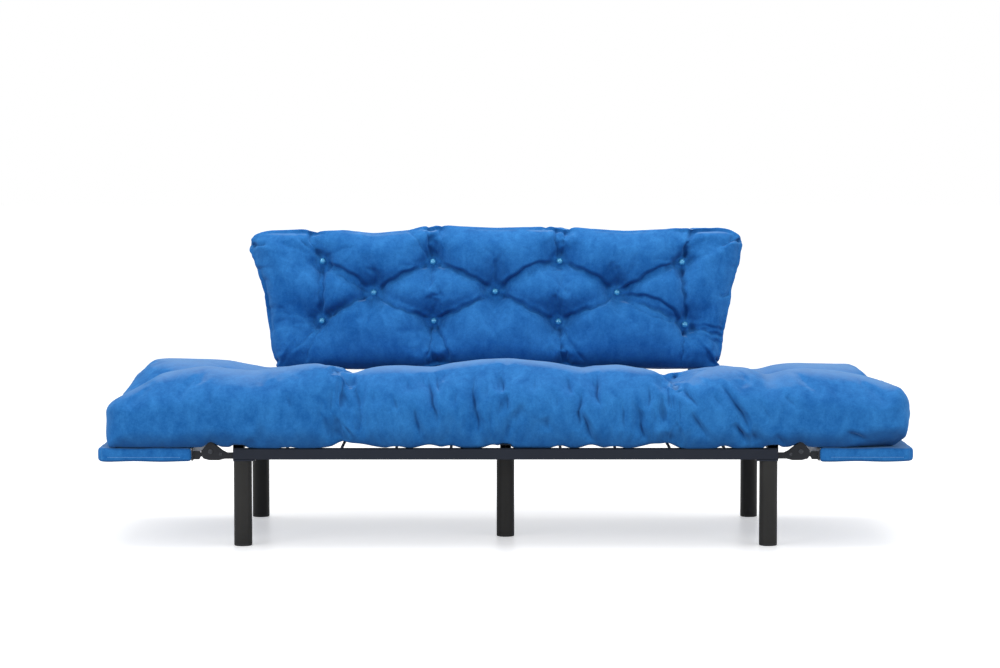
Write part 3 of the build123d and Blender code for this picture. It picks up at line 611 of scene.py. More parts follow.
BACK_FOLDS: tuple[Fold, ...] = (
    Fold(Pleat.DEEP, ((-0.52, 0.325), (-0.552, 0.367), (-0.561, 0.407))),
    Fold(Pleat.MIDDLE, ((-0.525, 0.33), (-0.567, 0.362), (-0.601, 0.4))),
    Fold(Pleat.SLIGHT, ((-0.532, 0.33), (-0.601, 0.352), (-0.656, 0.372))),
    Fold(Pleat.SLIGHT, ((-0.518, 0.325), (-0.532, 0.357), (-0.545, 0.4))),
    Fold(Pleat.DEEP, ((-0.508, 0.312), (-0.448, 0.283), (-0.409, 0.258), (-0.372, 0.228))),
    Fold(Pleat.MIDDLE, ((-0.478, 0.278), (-0.419, 0.246), (-0.377, 0.223))),
    Fold(Pleat.DEEP, ((-0.515, 0.31), (-0.515, 0.243), (-0.518, 0.146))),
    Fold(Pleat.MIDDLE, ((-0.52, 0.308), (-0.529, 0.243), (-0.521, 0.149))),
    Fold(Pleat.DEEP, ((-0.36, 0.226), (-0.295, 0.266), (-0.197, 0.31))),
    Fold(Pleat.DEEP, ((-0.372, 0.217), (-0.444, 0.181), (-0.513, 0.144))),
    Fold(Pleat.SLIGHT, ((-0.448, 0.174), (-0.488, 0.151), (-0.515, 0.141))),
    Fold(Pleat.DEEP, ((-0.36, 0.216), (-0.305, 0.176), (-0.241, 0.156), (-0.194, 0.143))),
    Fold(Pleat.DEEP, ((-0.182, 0.312), (-0.113, 0.283), (-0.064, 0.261), (-0.009, 0.231))),
    Fold(Pleat.DEEP, ((-0.18, 0.144), (-0.108, 0.169), (-0.012, 0.221))),
    Fold(Pleat.DEEP, ((-0.192, 0.32), (-0.202, 0.377), (-0.204, 0.417))),
    Fold(Pleat.MIDDLE, ((-0.197, 0.323), (-0.241, 0.382), (-0.263, 0.412))),
    Fold(Pleat.SLIGHT, ((-0.187, 0.323), (-0.177, 0.367), (-0.17, 0.407))),
    Fold(Pleat.SLIGHT, ((-0.189, 0.305), (-0.197, 0.243), (-0.193, 0.149))),
    Fold(Pleat.MIDDLE, ((-0.522, 0.134), (-0.567, 0.079), (-0.611, 0.04))),
    Fold(Pleat.MIDDLE, ((-0.52, 0.133), (-0.552, 0.055), (-0.569, 0.01))),
    Fold(Pleat.SLIGHT, ((-0.525, 0.141), (-0.601, 0.154), (-0.671, 0.159))),
    Fold(Pleat.SLIGHT, ((-0.525, 0.138), (-0.601, 0.124), (-0.666, 0.109))),
    Fold(Pleat.DEEP, ((-0.189, 0.134), (-0.199, 0.069), (-0.207, 0.01))),
    Fold(Pleat.DEEP, ((-0.183, 0.134), (-0.157, 0.074), (-0.14, 0.02))),
    Fold(Pleat.DEEP, ((-0.74, 0.362), (-0.715, 0.369), (-0.685, 0.366))),
    Fold(Pleat.SLIGHT, ((-0.68, 0.179), (-0.651, 0.171), (-0.621, 0.17))),
    Fold(Pleat.SLIGHT, ((-0.72, 0.298), (-0.69, 0.293), (-0.661, 0.293))),
    Fold(Pleat.SLIGHT, ((-0.515, 0.323), (-0.468, 0.347), (-0.419, 0.357))),
    Fold(Pleat.SLIGHT, ((-0.199, 0.312), (-0.241, 0.298), (-0.291, 0.298))),
    Fold(Pleat.SLIGHT, ((-0.365, 0.231), (-0.362, 0.268), (-0.36, 0.308))),
    Fold(Pleat.SLIGHT, ((-0.365, 0.213), (-0.374, 0.174), (-0.384, 0.124))),
    Fold(Pleat.DEEP, ((0.185, 0.324), (0.175, 0.377), (0.176, 0.414))),
    Fold(Pleat.MIDDLE, ((0.19, 0.324), (0.199, 0.382), (0.203, 0.417))),
    Fold(Pleat.DEEP, ((0.005, 0.234), (0.069, 0.279), (0.114, 0.304), (0.179, 0.316))),
    Fold(Pleat.SLIGHT, ((0.024, 0.244), (0.064, 0.272), (0.109, 0.292))),
    Fold(Pleat.DEEP, ((0.194, 0.314), (0.258, 0.284), (0.308, 0.259), (0.35, 0.227))),
    Fold(Pleat.DEEP, ((0.363, 0.226), (0.427, 0.257), (0.467, 0.287), (0.542, 0.311))),
    Fold(Pleat.DEEP, ((0.55, 0.307), (0.559, 0.232), (0.563, 0.132))),
    Fold(Pleat.MIDDLE, ((0.548, 0.306), (0.553, 0.247), (0.559, 0.192))),
    Fold(Pleat.DEEP, ((0.363, 0.219), (0.457, 0.202), (0.507, 0.177), (0.554, 0.129))),
    Fold(Pleat.MIDDLE, ((0.362, 0.217), (0.427, 0.164), (0.477, 0.142), (0.552, 0.129))),
    Fold(Pleat.MIDDLE, ((0.378, 0.207), (0.482, 0.162), (0.537, 0.139))),
    Fold(Pleat.DEEP, ((0.005, 0.222), (0.069, 0.187), (0.124, 0.157), (0.176, 0.139))),
    Fold(Pleat.DEEP, ((0.186, 0.139), (0.258, 0.167), (0.318, 0.187), (0.352, 0.217))),
    Fold(Pleat.SLIGHT, ((0.194, 0.309), (0.194, 0.232), (0.186, 0.144))),
    Fold(Pleat.DEEP, ((0.551, 0.319), (0.564, 0.367), (0.582, 0.417))),
    Fold(Pleat.MIDDLE, ((0.553, 0.319), (0.574, 0.382), (0.594, 0.414))),
    Fold(Pleat.DEEP, ((0.185, 0.131), (0.191, 0.072), (0.195, 0.017))),
    Fold(Pleat.MIDDLE, ((0.187, 0.131), (0.218, 0.067), (0.263, 0.007))),
    Fold(Pleat.DEEP, ((0.559, 0.117), (0.554, 0.062), (0.546, 0.002))),
    Fold(Pleat.SLIGHT, ((0.563, 0.118), (0.606, 0.062), (0.641, 0.022))),
    Fold(Pleat.SLIGHT, ((0.561, 0.117), (0.574, 0.057), (0.581, 0.007))),
    Fold(Pleat.DEEP, ((0.566, 0.122), (0.626, 0.106), (0.681, 0.092))),
    Fold(Pleat.MIDDLE, ((0.566, 0.126), (0.636, 0.119), (0.678, 0.108))),
    Fold(Pleat.MIDDLE, ((0.566, 0.119), (0.621, 0.089), (0.671, 0.071))),
    Fold(Pleat.DEEP, ((0.738, 0.383), (0.696, 0.377), (0.661, 0.357))),
    Fold(Pleat.MIDDLE, ((0.698, 0.222), (0.676, 0.209), (0.661, 0.207))),
    Fold(Pleat.SLIGHT, ((0.542, 0.311), (0.497, 0.317), (0.457, 0.314))),
    Fold(Pleat.SLIGHT, ((0.552, 0.314), (0.601, 0.327), (0.641, 0.342))),
    Fold(Pleat.SLIGHT, ((0.0, 0.232), (-0.005, 0.277), (-0.008, 0.322))),
    Fold(Pleat.SLIGHT, ((0.357, 0.227), (0.36, 0.262), (0.363, 0.307))),
    Fold(Pleat.SLIGHT, ((0.181, 0.131), (0.164, 0.097), (0.144, 0.062))),
)

FRONT_FOLDS: tuple[Fold, ...] = (
    Fold(Pleat.DEEP, ((-0.086, 0.459), (-0.088, 0.41), (-0.076, 0.36), (-0.078, 0.311))),
    Fold(Pleat.DEEP, ((-0.211, 0.464), (-0.201, 0.41), (-0.189, 0.356))),
    Fold(Pleat.MIDDLE, ((-0.257, 0.385), (-0.243, 0.351), (-0.238, 0.306))),
    Fold(Pleat.SLIGHT, ((-0.23, 0.473), (-0.221, 0.444))),
    Fold(Pleat.MIDDLE, ((-0.191, 0.471), (-0.185, 0.432))),
    Fold(Pleat.SLIGHT, ((-0.172, 0.478), (-0.172, 0.454))),
    Fold(Pleat.MIDDLE, ((-0.012, 0.464), (-0.007, 0.429))),
    Fold(Pleat.MIDDLE, ((0.004, 0.419), (-0.001, 0.37))),
    Fold(Pleat.MIDDLE, ((0.169, 0.464), (0.184, 0.427))),
    Fold(Pleat.DEEP, ((0.21, 0.419), (0.2, 0.37), (0.204, 0.336))),
    Fold(Pleat.DEEP, ((0.213, 0.368), (0.225, 0.326), (0.238, 0.297))),
    Fold(Pleat.DEEP, ((0.256, 0.473), (0.249, 0.439), (0.259, 0.4))),
    Fold(Pleat.SLIGHT, ((0.238, 0.476), (0.24, 0.444))),
    Fold(Pleat.MIDDLE, ((0.319, 0.4), (0.324, 0.336))),
    Fold(Pleat.DEEP, ((0.366, 0.39), (0.372, 0.336), (0.385, 0.304))),
    Fold(Pleat.MIDDLE, ((0.392, 0.444), (0.395, 0.385))),
    Fold(Pleat.SLIGHT, ((0.11, 0.356), (0.119, 0.324))),
    Fold(Pleat.SLIGHT, ((0.083, 0.466), (0.077, 0.427))),
    Fold(Pleat.SLIGHT, ((-0.309, 0.417), (-0.298, 0.38))),
    Fold(Pleat.SLIGHT, ((-0.342, 0.424), (-0.349, 0.39))),
    Fold(Pleat.SLIGHT, ((-0.272, 0.461), (-0.266, 0.429))),
    Fold(Pleat.SLIGHT, ((0.044, 0.395), (0.049, 0.351))),
    Fold(Pleat.SLIGHT, ((0.137, 0.429), (0.142, 0.38))),
    Fold(Pleat.SLIGHT, ((-0.137, 0.434), (-0.142, 0.39))),
    Fold(Pleat.SLIGHT, ((-0.051, 0.449), (-0.049, 0.41))),
    Fold(Pleat.DEEP, ((-0.424, 0.458), (-0.406, 0.409), (-0.4, 0.369), (-0.404, 0.308))),
    Fold(Pleat.MIDDLE, ((-0.457, 0.348), (-0.419, 0.297))),
    Fold(Pleat.SLIGHT, ((-0.475, 0.325), (-0.432, 0.285))),
    Fold(Pleat.MIDDLE, ((-0.45, 0.427), (-0.424, 0.384))),
    Fold(Pleat.MIDDLE, ((-0.384, 0.448), (-0.397, 0.399))),
    Fold(Pleat.SLIGHT, ((-0.361, 0.425), (-0.381, 0.374))),
    Fold(Pleat.SLIGHT, ((-0.467, 0.394), (-0.442, 0.353))),
    Fold(Pleat.SLIGHT, ((-0.376, 0.353), (-0.396, 0.303))),
    Fold(Pleat.SLIGHT, ((-0.599, 0.425), (-0.589, 0.384))),
    Fold(Pleat.SLIGHT, ((-0.812, 0.435), (-0.807, 0.389))),
    Fold(Pleat.DEEP, ((0.474, 0.451), (0.506, 0.421), (0.519, 0.394))),
    Fold(Pleat.MIDDLE, ((0.398, 0.46), (0.394, 0.404), (0.386, 0.364))),
    Fold(Pleat.DEEP, ((0.362, 0.394), (0.377, 0.353), (0.373, 0.328), (0.384, 0.297))),
    Fold(Pleat.MIDDLE, ((0.506, 0.384), (0.529, 0.338), (0.552, 0.308))),
    Fold(Pleat.SLIGHT, ((0.437, 0.318), (0.452, 0.292))),
    Fold(Pleat.DEEP, ((0.597, 0.437), (0.635, 0.394), (0.663, 0.333))),
    Fold(Pleat.DEEP, ((0.633, 0.338), (0.658, 0.29))),
    Fold(Pleat.SLIGHT, ((0.673, 0.318), (0.689, 0.292))),
    Fold(Pleat.SLIGHT, ((0.76, 0.425), (0.8, 0.384))),
    Fold(Pleat.SLIGHT, ((0.744, 0.308), (0.765, 0.28))),
    Fold(Pleat.MIDDLE, ((0.94, 0.315), (0.983, 0.295))),
    Fold(Pleat.SLIGHT, ((0.422, 0.389), (0.43, 0.343))),
    Fold(Pleat.SLIGHT, ((0.564, 0.43), (0.595, 0.389))),
    Fold(Pleat.SLIGHT, ((0.699, 0.404), (0.727, 0.353))),
)

TUFT_VALLEYS: tuple[Fold, ...] = (
    Fold(Pleat.DEEP, ((-0.428, 0.475), (-0.412, 0.400), (-0.405, 0.300))),
    Fold(Pleat.DEEP, ((0.460, 0.420), (0.454, 0.385), (0.446, 0.320))),
)


def grid_box(cuts: tuple[int, int, int]) -> bmesh.types.BMesh:
    """A box of unit size, whose faces are cut into squares.

    Args:
        cuts: The number of cuts along each axis.

    Returns:
        The box's bmesh.
    """
    box = bmesh.new()
    bmesh.ops.create_cube(box, size=1.0)
    for axis, count in enumerate(cuts):
        long_edges = [e for e in box.edges if abs((e.verts[0].co - e.verts[1].co)[axis]) > 0.9]
        bmesh.ops.subdivide_edges(box, edges=long_edges, cuts=count, use_grid_fill=True)
    return box


def object_from(shape: bmesh.types.BMesh, name: str, material: bpy.types.Material) -> bpy.types.Object:
    """Makes a piece of a finished bmesh.

    Args:
        shape: The bmesh, which is freed.
        name: The piece's name.
        material: Its finish.

    Returns:
        The new object, smooth shaded and in the scene.
    """
    mesh = bpy.data.meshes.new(name)
    shape.to_mesh(mesh)
    shape.free()
    mesh.materials.append(material)
    for face in mesh.polygons:
        face.use_smooth = True
    piece = bpy.data.objects.new(name, mesh)
    bpy.context.scene.collection.objects.link(piece)
    return piece


def points_of(mesh: bpy.types.Mesh) -> np.ndarray:
    """The mesh's vertices as rows of X, Y and Z."""
    flat = np.empty(len(mesh.vertices) * 3, dtype=np.float64)
    mesh.vertices.foreach_get("co", flat)
    return flat.reshape(-1, 3)


def normals_of(mesh: bpy.types.Mesh) -> np.ndarray:
    """The mesh's vertex normals as rows of X, Y and Z."""
    flat = np.empty(len(mesh.vertices) * 3, dtype=np.float64)
    mesh.vertices.foreach_get("normal", flat)
    return flat.reshape(-1, 3)


def move_points(mesh: bpy.types.Mesh, points: np.ndarray) -> None:
    """Puts the mesh's vertices at the given points."""
    mesh.vertices.foreach_set("co", points.ravel())
    mesh.update()


def rounded(points: np.ndarray, half: np.ndarray, radius: float, below: float) -> np.ndarray:
    """Rounds the edges of a box.

    Args:
        points: Points on the box, about its centre.
        half: Half of the box's size.
        radius: The radius of its upper edges.
        below: The radius of its lower edges.

    Returns:
        The moved points.
    """
    bend = below + (radius - below) * np.clip((points[:, 2:] / half[2] + 1.0) / 1.2, 0.0, 1.0)
    core = np.clip(points, -(half - bend), half - bend)
    out = points - core
    length = np.maximum(np.linalg.norm(out, axis=1, keepdims=True), 1e-9)
    return core + out / length * bend


def round_plan(plan: np.ndarray, half: tuple[float, float], radius: float) -> np.ndarray:
    """Rounds the four corners of a flat oblong.

    Args:
        plan: Points of the oblong about its centre, as rows of two.
        half: Half of its size.
        radius: The radius of its corners.

    Returns:
        The moved points.
    """
    middle = np.clip(plan, -(np.array(half) - radius), np.array(half) - radius)
    out = plan - middle
    length = np.maximum(np.linalg.norm(out, axis=1, keepdims=True), 1e-9)
    return middle + out * (np.abs(out).max(axis=1, keepdims=True) / length)


def line_distance(plan: np.ndarray, start: tuple[float, float], end: tuple[float, float]) -> np.ndarray:
    """How far points on a plan are from a line between two others.

    Args:
        plan: The points, as rows of two.
        start: The line's start.
        end: The line's end.

    Returns:
        The distances.
    """
    first = np.array(start)
    way = np.array(end) - first
    share = np.clip(((plan - first) @ way) / max(float(way @ way), 1e-12), 0.0, 1.0)
    return np.linalg.norm(plan - first - share[:, None] * way, axis=1)


def inflate(
    piece: bpy.types.Object, pins: np.ndarray, pressure: float, slack: float, steps: int, limit: float
) -> None:
    """Stuffs a closed cloth piece, held where it is stitched, and keeps the shape that it takes.

    Args:
        piece: The piece.
        pins: How firmly each vertex is held, from 0 to 1.
        pressure: How hard it is stuffed.
        slack: How much longer the cloth is than the start shape.
        steps: How many steps to run.
        limit: How far a point may move, in metres.
    """
    start = points_of(piece.data)
    held = piece.vertex_groups.new(name="stitches")
    for index in np.nonzero(pins > 0.004)[0]:
        held.add([int(index)], float(pins[index]), "REPLACE")
    cloth = piece.modifiers.new("stuffing", "CLOTH")
    fabric = cloth.settings
    fabric.quality = 6
    fabric.mass = 0.25
    fabric.tension_stiffness = 18.0
    fabric.compression_stiffness = 9.0
    fabric.shear_stiffness = 6.0
    fabric.bending_stiffness = 0.35
    fabric.tension_damping = 8.0
    fabric.compression_damping = 8.0
    fabric.shear_damping = 8.0
    fabric.air_damping = 2.0
    fabric.use_pressure = True
    fabric.uniform_pressure_force = pressure
    fabric.shrink_min = -slack
    fabric.vertex_group_mass = "stitches"
    fabric.pin_stiffness = 2.0
    fabric.effector_weights.gravity = 0.0
    cloth.collision_settings.use_collision = False
    cloth.collision_settings.use_self_collision = False
    cloth.point_cache.frame_start = 1
    cloth.point_cache.frame_end = steps
    scene = bpy.context.scene
    for step in range(1, steps + 1):
        scene.frame_set(step)
    shaped = piece.evaluated_get(bpy.context.evaluated_depsgraph_get())
    stuffed = points_of(shaped.to_mesh())
    shaped.to_mesh_clear()
    piece.modifiers.remove(cloth)
    piece.vertex_groups.remove(held)
    scene.frame_set(1)
    moved = stuffed - start
    length = np.maximum(np.linalg.norm(moved, axis=1, keepdims=True), 1e-9)
    move_points(piece.data, start + moved * (limit * np.tanh(length / limit) / length))


def refine(piece: bpy.types.Object) -> None:
    """Smooths a piece by one level of subdivision and keeps the finer mesh."""
    finer = piece.modifiers.new("finer", "SUBSURF")
    finer.levels = 1
    finer.render_levels = 1
    shaped = piece.evaluated_get(bpy.context.evaluated_depsgraph_get())
    mesh = bpy.data.meshes.new_from_object(shaped)
    piece.modifiers.remove(finer)
    old = piece.data
    piece.data = mesh
    bpy.data.meshes.remove(old)


def mark_folds(mesh: bpy.types.Mesh, reach: int = 4, scale: float = 55.0) -> None:
    """Stores how hollow each vertex lies, from 0 on a ridge to 1 in a fold, and how far it faces up or down.

    Args:
        mesh: The mesh.
        reach: How many rounds the measure is spread over.
        scale: How strongly a hollow counts.
    """
    points = points_of(mesh)
    ends = np.empty(len(mesh.edges) * 2, dtype=np.int64)
    mesh.edges.foreach_get("vertices", ends)
    first, second = ends.reshape(-1, 2).T
    count = np.bincount(ends, minlength=len(points)).astype(float)[:, None]
    soft = points.copy()
    for _ in range(reach):
        near = np.zeros_like(soft)
        np.add.at(near, first, soft[second])
        np.add.at(near, second, soft[first])
        soft = near / np.maximum(count, 1.0)
    hollow = np.einsum("ij,ij->i", soft - points, normals_of(mesh))
    value = np.clip(0.5 + hollow * scale, 0.0, 1.0)
    for name, values in (("fold", value), ("upward", normals_of(mesh)[:, 2])):
        layer = mesh.attributes.new(name, "FLOAT", "POINT")
        layer.data.foreach_set("value", values.astype(np.float32))


@dataclass
class Mattress:
    """The long tufted mattress, which lies over the frame and both wings."""

    finish: bpy.types.Material
    left_end: float = -1.113
    right_end: float = 1.124
    front: float = FRONT_Y - 0.001
    rear: float = REAR_Y - 0.014
    low: float = 0.273
    high: float = 0.470
    edge: float = 0.064
    low_edge: float = 0.012
    sight: float = 0.0779
    crest_y: float = -0.28
    ridge_y: float = 0.22
    belly_push: float = 0.019
    belly_start: float = 0.022
    belly_reach: float = 0.018
    turn: float = 0.081
    turn_z: float = 0.336
    cuts: tuple[int, int, int] = (228, 64, 19)
    dimple: float = 0.046
    under_dimple: tuple[float, float] = (0.024, 0.080)
    crease: tuple[float, float] = (0.010, 0.026)
    bend_from: float = 0.62
    bend_to: float = 0.93
    tufts: tuple[Point, ...] = (
        (-0.450, 0.150, 0.416),
        (0.450, 0.150, 0.416),
        (-0.680, 0.330, 0.426),
        (-0.225, 0.330, 0.423),
        (0.225, 0.330, 0.423),
        (0.680, 0.330, 0.426),
        (-0.450, 0.500, 0.423),
        (0.0, 0.500, 0.423),
        (0.450, 0.500, 0.423),
    )
    creases: tuple[tuple[int, int], ...] = (
        (0, 2), (0, 3), (1, 4), (1, 5),
        (6, 2), (6, 3), (7, 3), (7, 4), (8, 4), (8, 5),
        (0, 6), (1, 8),
    )
    crest: tuple[tuple[float, float], ...] = (
        (-1.117, 0.361), (-1.109, 0.386), (-1.077, 0.414), (-1.046, 0.436), (-0.979, 0.470), (-0.887, 0.486),
        (-0.834, 0.4905), (-0.768, 0.4835), (-0.698, 0.478), (-0.642, 0.486), (-0.573, 0.495),
        (-0.517, 0.4975), (-0.461, 0.489), (-0.428, 0.467), (-0.392, 0.4835), (-0.336, 0.492),
        (-0.280, 0.493), (-0.210, 0.488),
        (-0.155, 0.500), (-0.071, 0.510), (0.012, 0.513), (0.124, 0.503), (0.227, 0.485), (0.263, 0.493),
        (0.319, 0.495), (0.374, 0.486), (0.425, 0.475), (0.466, 0.442), (0.508, 0.461), (0.542, 0.478),
        (0.597, 0.489), (0.681, 0.486), (0.725, 0.467), (0.784, 0.481), (0.837, 0.4835), (0.887, 0.481),
        (0.940, 0.475), (0.998, 0.465), (1.043, 0.452), (1.088, 0.439), (1.110, 0.424), (1.125, 0.393),
    )
    ridge: tuple[tuple[float, float], ...] = (
        (-1.090, 0.420), (-1.064, 0.450), (-1.048, 0.471), (-0.993, 0.474), (-0.857, 0.471), (-0.801, 0.468),
        (-0.763, 0.4605), (-0.721, 0.453), (-0.689, 0.447), (-0.600, 0.452), (-0.510, 0.448), (-0.462, 0.440),
        (-0.438, 0.422), (-0.411, 0.440), (-0.360, 0.449), (-0.200, 0.455), (0.0, 0.460), (0.200, 0.455),
        (0.340, 0.454), (0.399, 0.447), (0.429, 0.440), (0.4525, 0.424), (0.474, 0.440), (0.547, 0.447),
        (0.633, 0.453), (0.690, 0.447), (0.730, 0.441), (0.781, 0.455), (0.834, 0.460), (0.970, 0.4575),
        (1.024, 0.4575), (1.038, 0.450), (1.049, 0.432), (1.078, 0.410),
    )
    left_rows: tuple[tuple[float, float], ...] = (
        (0.274, -1.090), (0.282, -1.096), (0.290, -1.101), (0.307, -1.110), (0.332, -1.112), (0.357, -1.110),
        (0.382, -1.107), (0.398, -1.101), (0.407, -1.090), (0.423, -1.065), (0.440, -1.046),
    )
    right_rows: tuple[tuple[float, float], ...] = (
        (0.3235, 1.118), (0.332, 1.123), (0.357, 1.1257), (0.398, 1.120), (0.415, 1.109), (0.4315, 1.101),
        (0.448, 1.084),
    )
    curl: tuple[tuple[float, float], ...] = (
        (0.860, 0.0), (0.940, 0.008), (0.990, 0.0165), (1.065, 0.025), (1.090, 0.038), (1.120, 0.048),
    )
    lifts: tuple[Point, ...] = (
        (-0.420, 0.060, 0.0150),
        (-0.211, 0.030, 0.0105),
        (-0.035, 0.020, 0.0105),
        (0.236, 0.024, 0.0105),
        (0.412, 0.042, 0.0135),
    )

    def spot(self, number: int) -> tuple[float, float]:
        """A tuft's place on the plan."""
        return self.tufts[number][0], FRONT_Y + self.tufts[number][1]

    def start_shape(self, points: np.ndarray) -> tuple[np.ndarray, np.ndarray]:
        """Forms the box into a tufted pad, and says where it is stitched.

        Args:
            points: The unit box's points.

        Returns:
            The formed points, and how firmly each is held.
        """
        low = np.array([self.left_end, self.front, self.low])
        high = np.array([self.right_end, self.rear, self.high])
        half, centre = (high - low) / 2.0, (high + low) / 2.0
        level = points[:, 2] * 2.0
        shaped = rounded(points * 2.0 * half, half, self.edge, self.low_edge) + centre
        plan = shaped[:, :2].copy()
        pins = np.zeros(len(points))
        upper = level > 0.999
        lower = level < -0.999
        rise, reach = self.under_dimple
        for number, (_, _, height) in enumerate(self.tufts):
            away = np.linalg.norm(plan - np.array(self.spot(number)), axis=1)
            drop = np.maximum(shaped[:, 2] - height, 0.0) * np.exp(-((away / self.dimple) ** 1.4))
            shaped[:, 2] -= np.where(upper, drop, 0.0)
            shaped[:, 2] += np.where(lower, rise * np.exp(-((away / reach) ** 1.6)), 0.0)
            pins = np.maximum(pins, np.where(upper | lower, np.clip(1.6 - away / 0.011, 0.0, 1.0), 0.0))
        depth, width = self.crease
        for start, end in self.creases:
            away = line_distance(plan, self.spot(start), self.spot(end))
            shaped[:, 2] -= np.where(upper, depth * np.exp(-((away / width) ** 2)), 0.0)
            pins = np.maximum(pins, np.where(upper, 0.05 * np.exp(-((away / 0.010) ** 2)), 0.0))
        return shaped, pins

    def match_ends(self, points: np.ndarray) -> np.ndarray:
        """Draws the two ends out to the mattress's length.

        Args:
            points: The stuffed points.

        Returns:
            The moved points.
        """
        x = points[:, 0]
        for end, far in ((self.left_end, x.min()), (self.right_end, x.max())):
            root = math.copysign(0.80, end)
            beyond = (x - root) * math.copysign(1.0, end) > 0.0
            x = np.where(beyond, root + (x - root) * (end - root) / (far - root), x)
        share = np.clip((points[:, 1] + 0.22) / 0.45, 0.0, 1.0)
        outer = np.clip((np.abs(x) - 0.80) / 0.30, 0.0, 1.0)
        points[:, 0] = x - np.sign(x) * 0.036 * outer * share * share * (3.0 - 2.0 * share)
        return points

    def match_rows(self, points: np.ndarray) -> np.ndarray:
        """Brings both ends to their outline, row by row.

        Args:
            points: The points, at their full height.

        Returns:
            The moved points.
        """
        for line, sign in ((self.left_rows, -1.0), (self.right_rows, 1.0)):
            root = 0.84 * sign
            rows = np.linspace(line[0][0], line[-1][0], 24)
            front = points[points[:, 1] < 0.0]
            ends = [(front[np.abs(front[:, 2] - row) < 0.010, 0] * sign).max() * sign for row in rows]
            growth = (np.interp(rows, *np.array(line).T) - root) / (np.array(ends) - root)
            held = np.pad(np.clip(growth, 0.85, 1.2), 3, mode="edge")
            growth = np.convolve(held, np.full(7, 1 / 7), mode="valid")
            share = np.clip((0.10 - points[:, 1]) / 0.15, 0.0, 1.0)
            scale = 1.0 + (np.interp(points[:, 2], rows, growth) - 1.0) * share
            beyond = (points[:, 0] - root) * sign > 0.0
            points[:, 0] = np.where(beyond, root + (points[:, 0] - root) * scale, points[:, 0])
        return points

    def gain(
        self, points: np.ndarray, chosen: np.ndarray, line: tuple, level: float, bins: np.ndarray
    ) -> np.ndarray:
        """How much the mattress must grow along its length to reach an outline.

        Args:
            points: The stuffed points.
            chosen: Which of them count.
            line: The outline, as pairs of X and height.
            level: The depth at which the outline is given.
            bins: The places along X to work at.

        Returns:
            The share to grow by at each place.
        """
        spots = points[chosen]
        seen = spots[:, 2] + self.sight * (spots[:, 1] - level)
        wanted = np.interp(bins, *np.array(line).T)
        gains = np.ones(len(bins))
        for number, place in enumerate(bins):
            near = np.nonzero(np.abs(spots[:, 0] - place) < 0.014)[0]
            if len(near) == 0:
                continue
            top = spots[near[np.argmax(seen[near])]]
            target = wanted[number] - self.sight * (top[1] - level)
            gains[number] = (target - self.low) / max(top[2] - self.low, 0.02)
        gains = np.pad(np.clip(gains, 0.6, 2.6), 2, mode="edge")
        return np.convolve(gains, (0.06, 0.24, 0.40, 0.24, 0.06), mode="valid")

    def match_crest(self, points: np.ndarray) -> np.ndarray:
        """Brings the front crest and the rear ridge to their heights.

        Args:
            points: The stuffed points.

        Returns:
            The moved points.
        """
        bins = np.linspace(-1.12, 1.12, 161)
        for _ in range(2):
            x, y, z = points.T
            front = np.interp(x, bins, self.gain(points, y < -0.25, self.crest, self.crest_y, bins))
            rear = np.interp(x, bins, self.gain(points, y > 0.10, self.ridge, self.ridge_y, bins))
            share = np.clip((y + 0.14) / 0.25, 0.0, 1.0)
            share = share * share * (3.0 - 2.0 * share)
            growth = front * (1.0 - share) + rear * share
            points[:, 2] = np.where(z > self.low, self.low + (z - self.low) * growth, z)
        x, y, z = points.T
        over = z + self.sight * (y - self.crest_y) - np.interp(x, *np.array(self.crest).T) + 0.006
        over = np.where((np.abs(x) < 0.62) & (y > -0.262), np.maximum(over, 0.0), 0.0)
        points[:, 2] = z - (over - 0.006 * (1.0 - np.exp(-over / 0.006)))
        x, y, z = points.T
        depth = 0.014 + 0.013 * np.clip((np.abs(x) - 0.52) / 0.16, 0.0, 1.0)
        valley = depth * np.exp(-(((y + 0.105) / 0.075) ** 2))
        points[:, 2] = np.where(z > 0.39, z - valley * np.clip((z - 0.39) / 0.03, 0.0, 1.0), z)
        return points

    def tie_down(self, points: np.ndarray) -> np.ndarray:
        """Brings the bottom of each dimple to its button.

        Args:
            points: The stuffed points.

        Returns:
            The moved points.
        """
        top = points[:, 2] > 0.36
        for number, (_, _, height) in enumerate(self.tufts):
            away = np.linalg.norm(points[:, :2] - np.array(self.spot(number)), axis=1)
            centre = points[top & (away < 0.016), 2].mean()
            width = np.where(points[:, 1] < self.spot(number)[1], 0.026, 0.044)
            pull = (height - 0.0015 - centre) * np.exp(-((np.maximum(away - 0.008, 0.0) / width) ** 1.5))
            points[:, 2] += np.where(top, pull, 0.0)
        return points

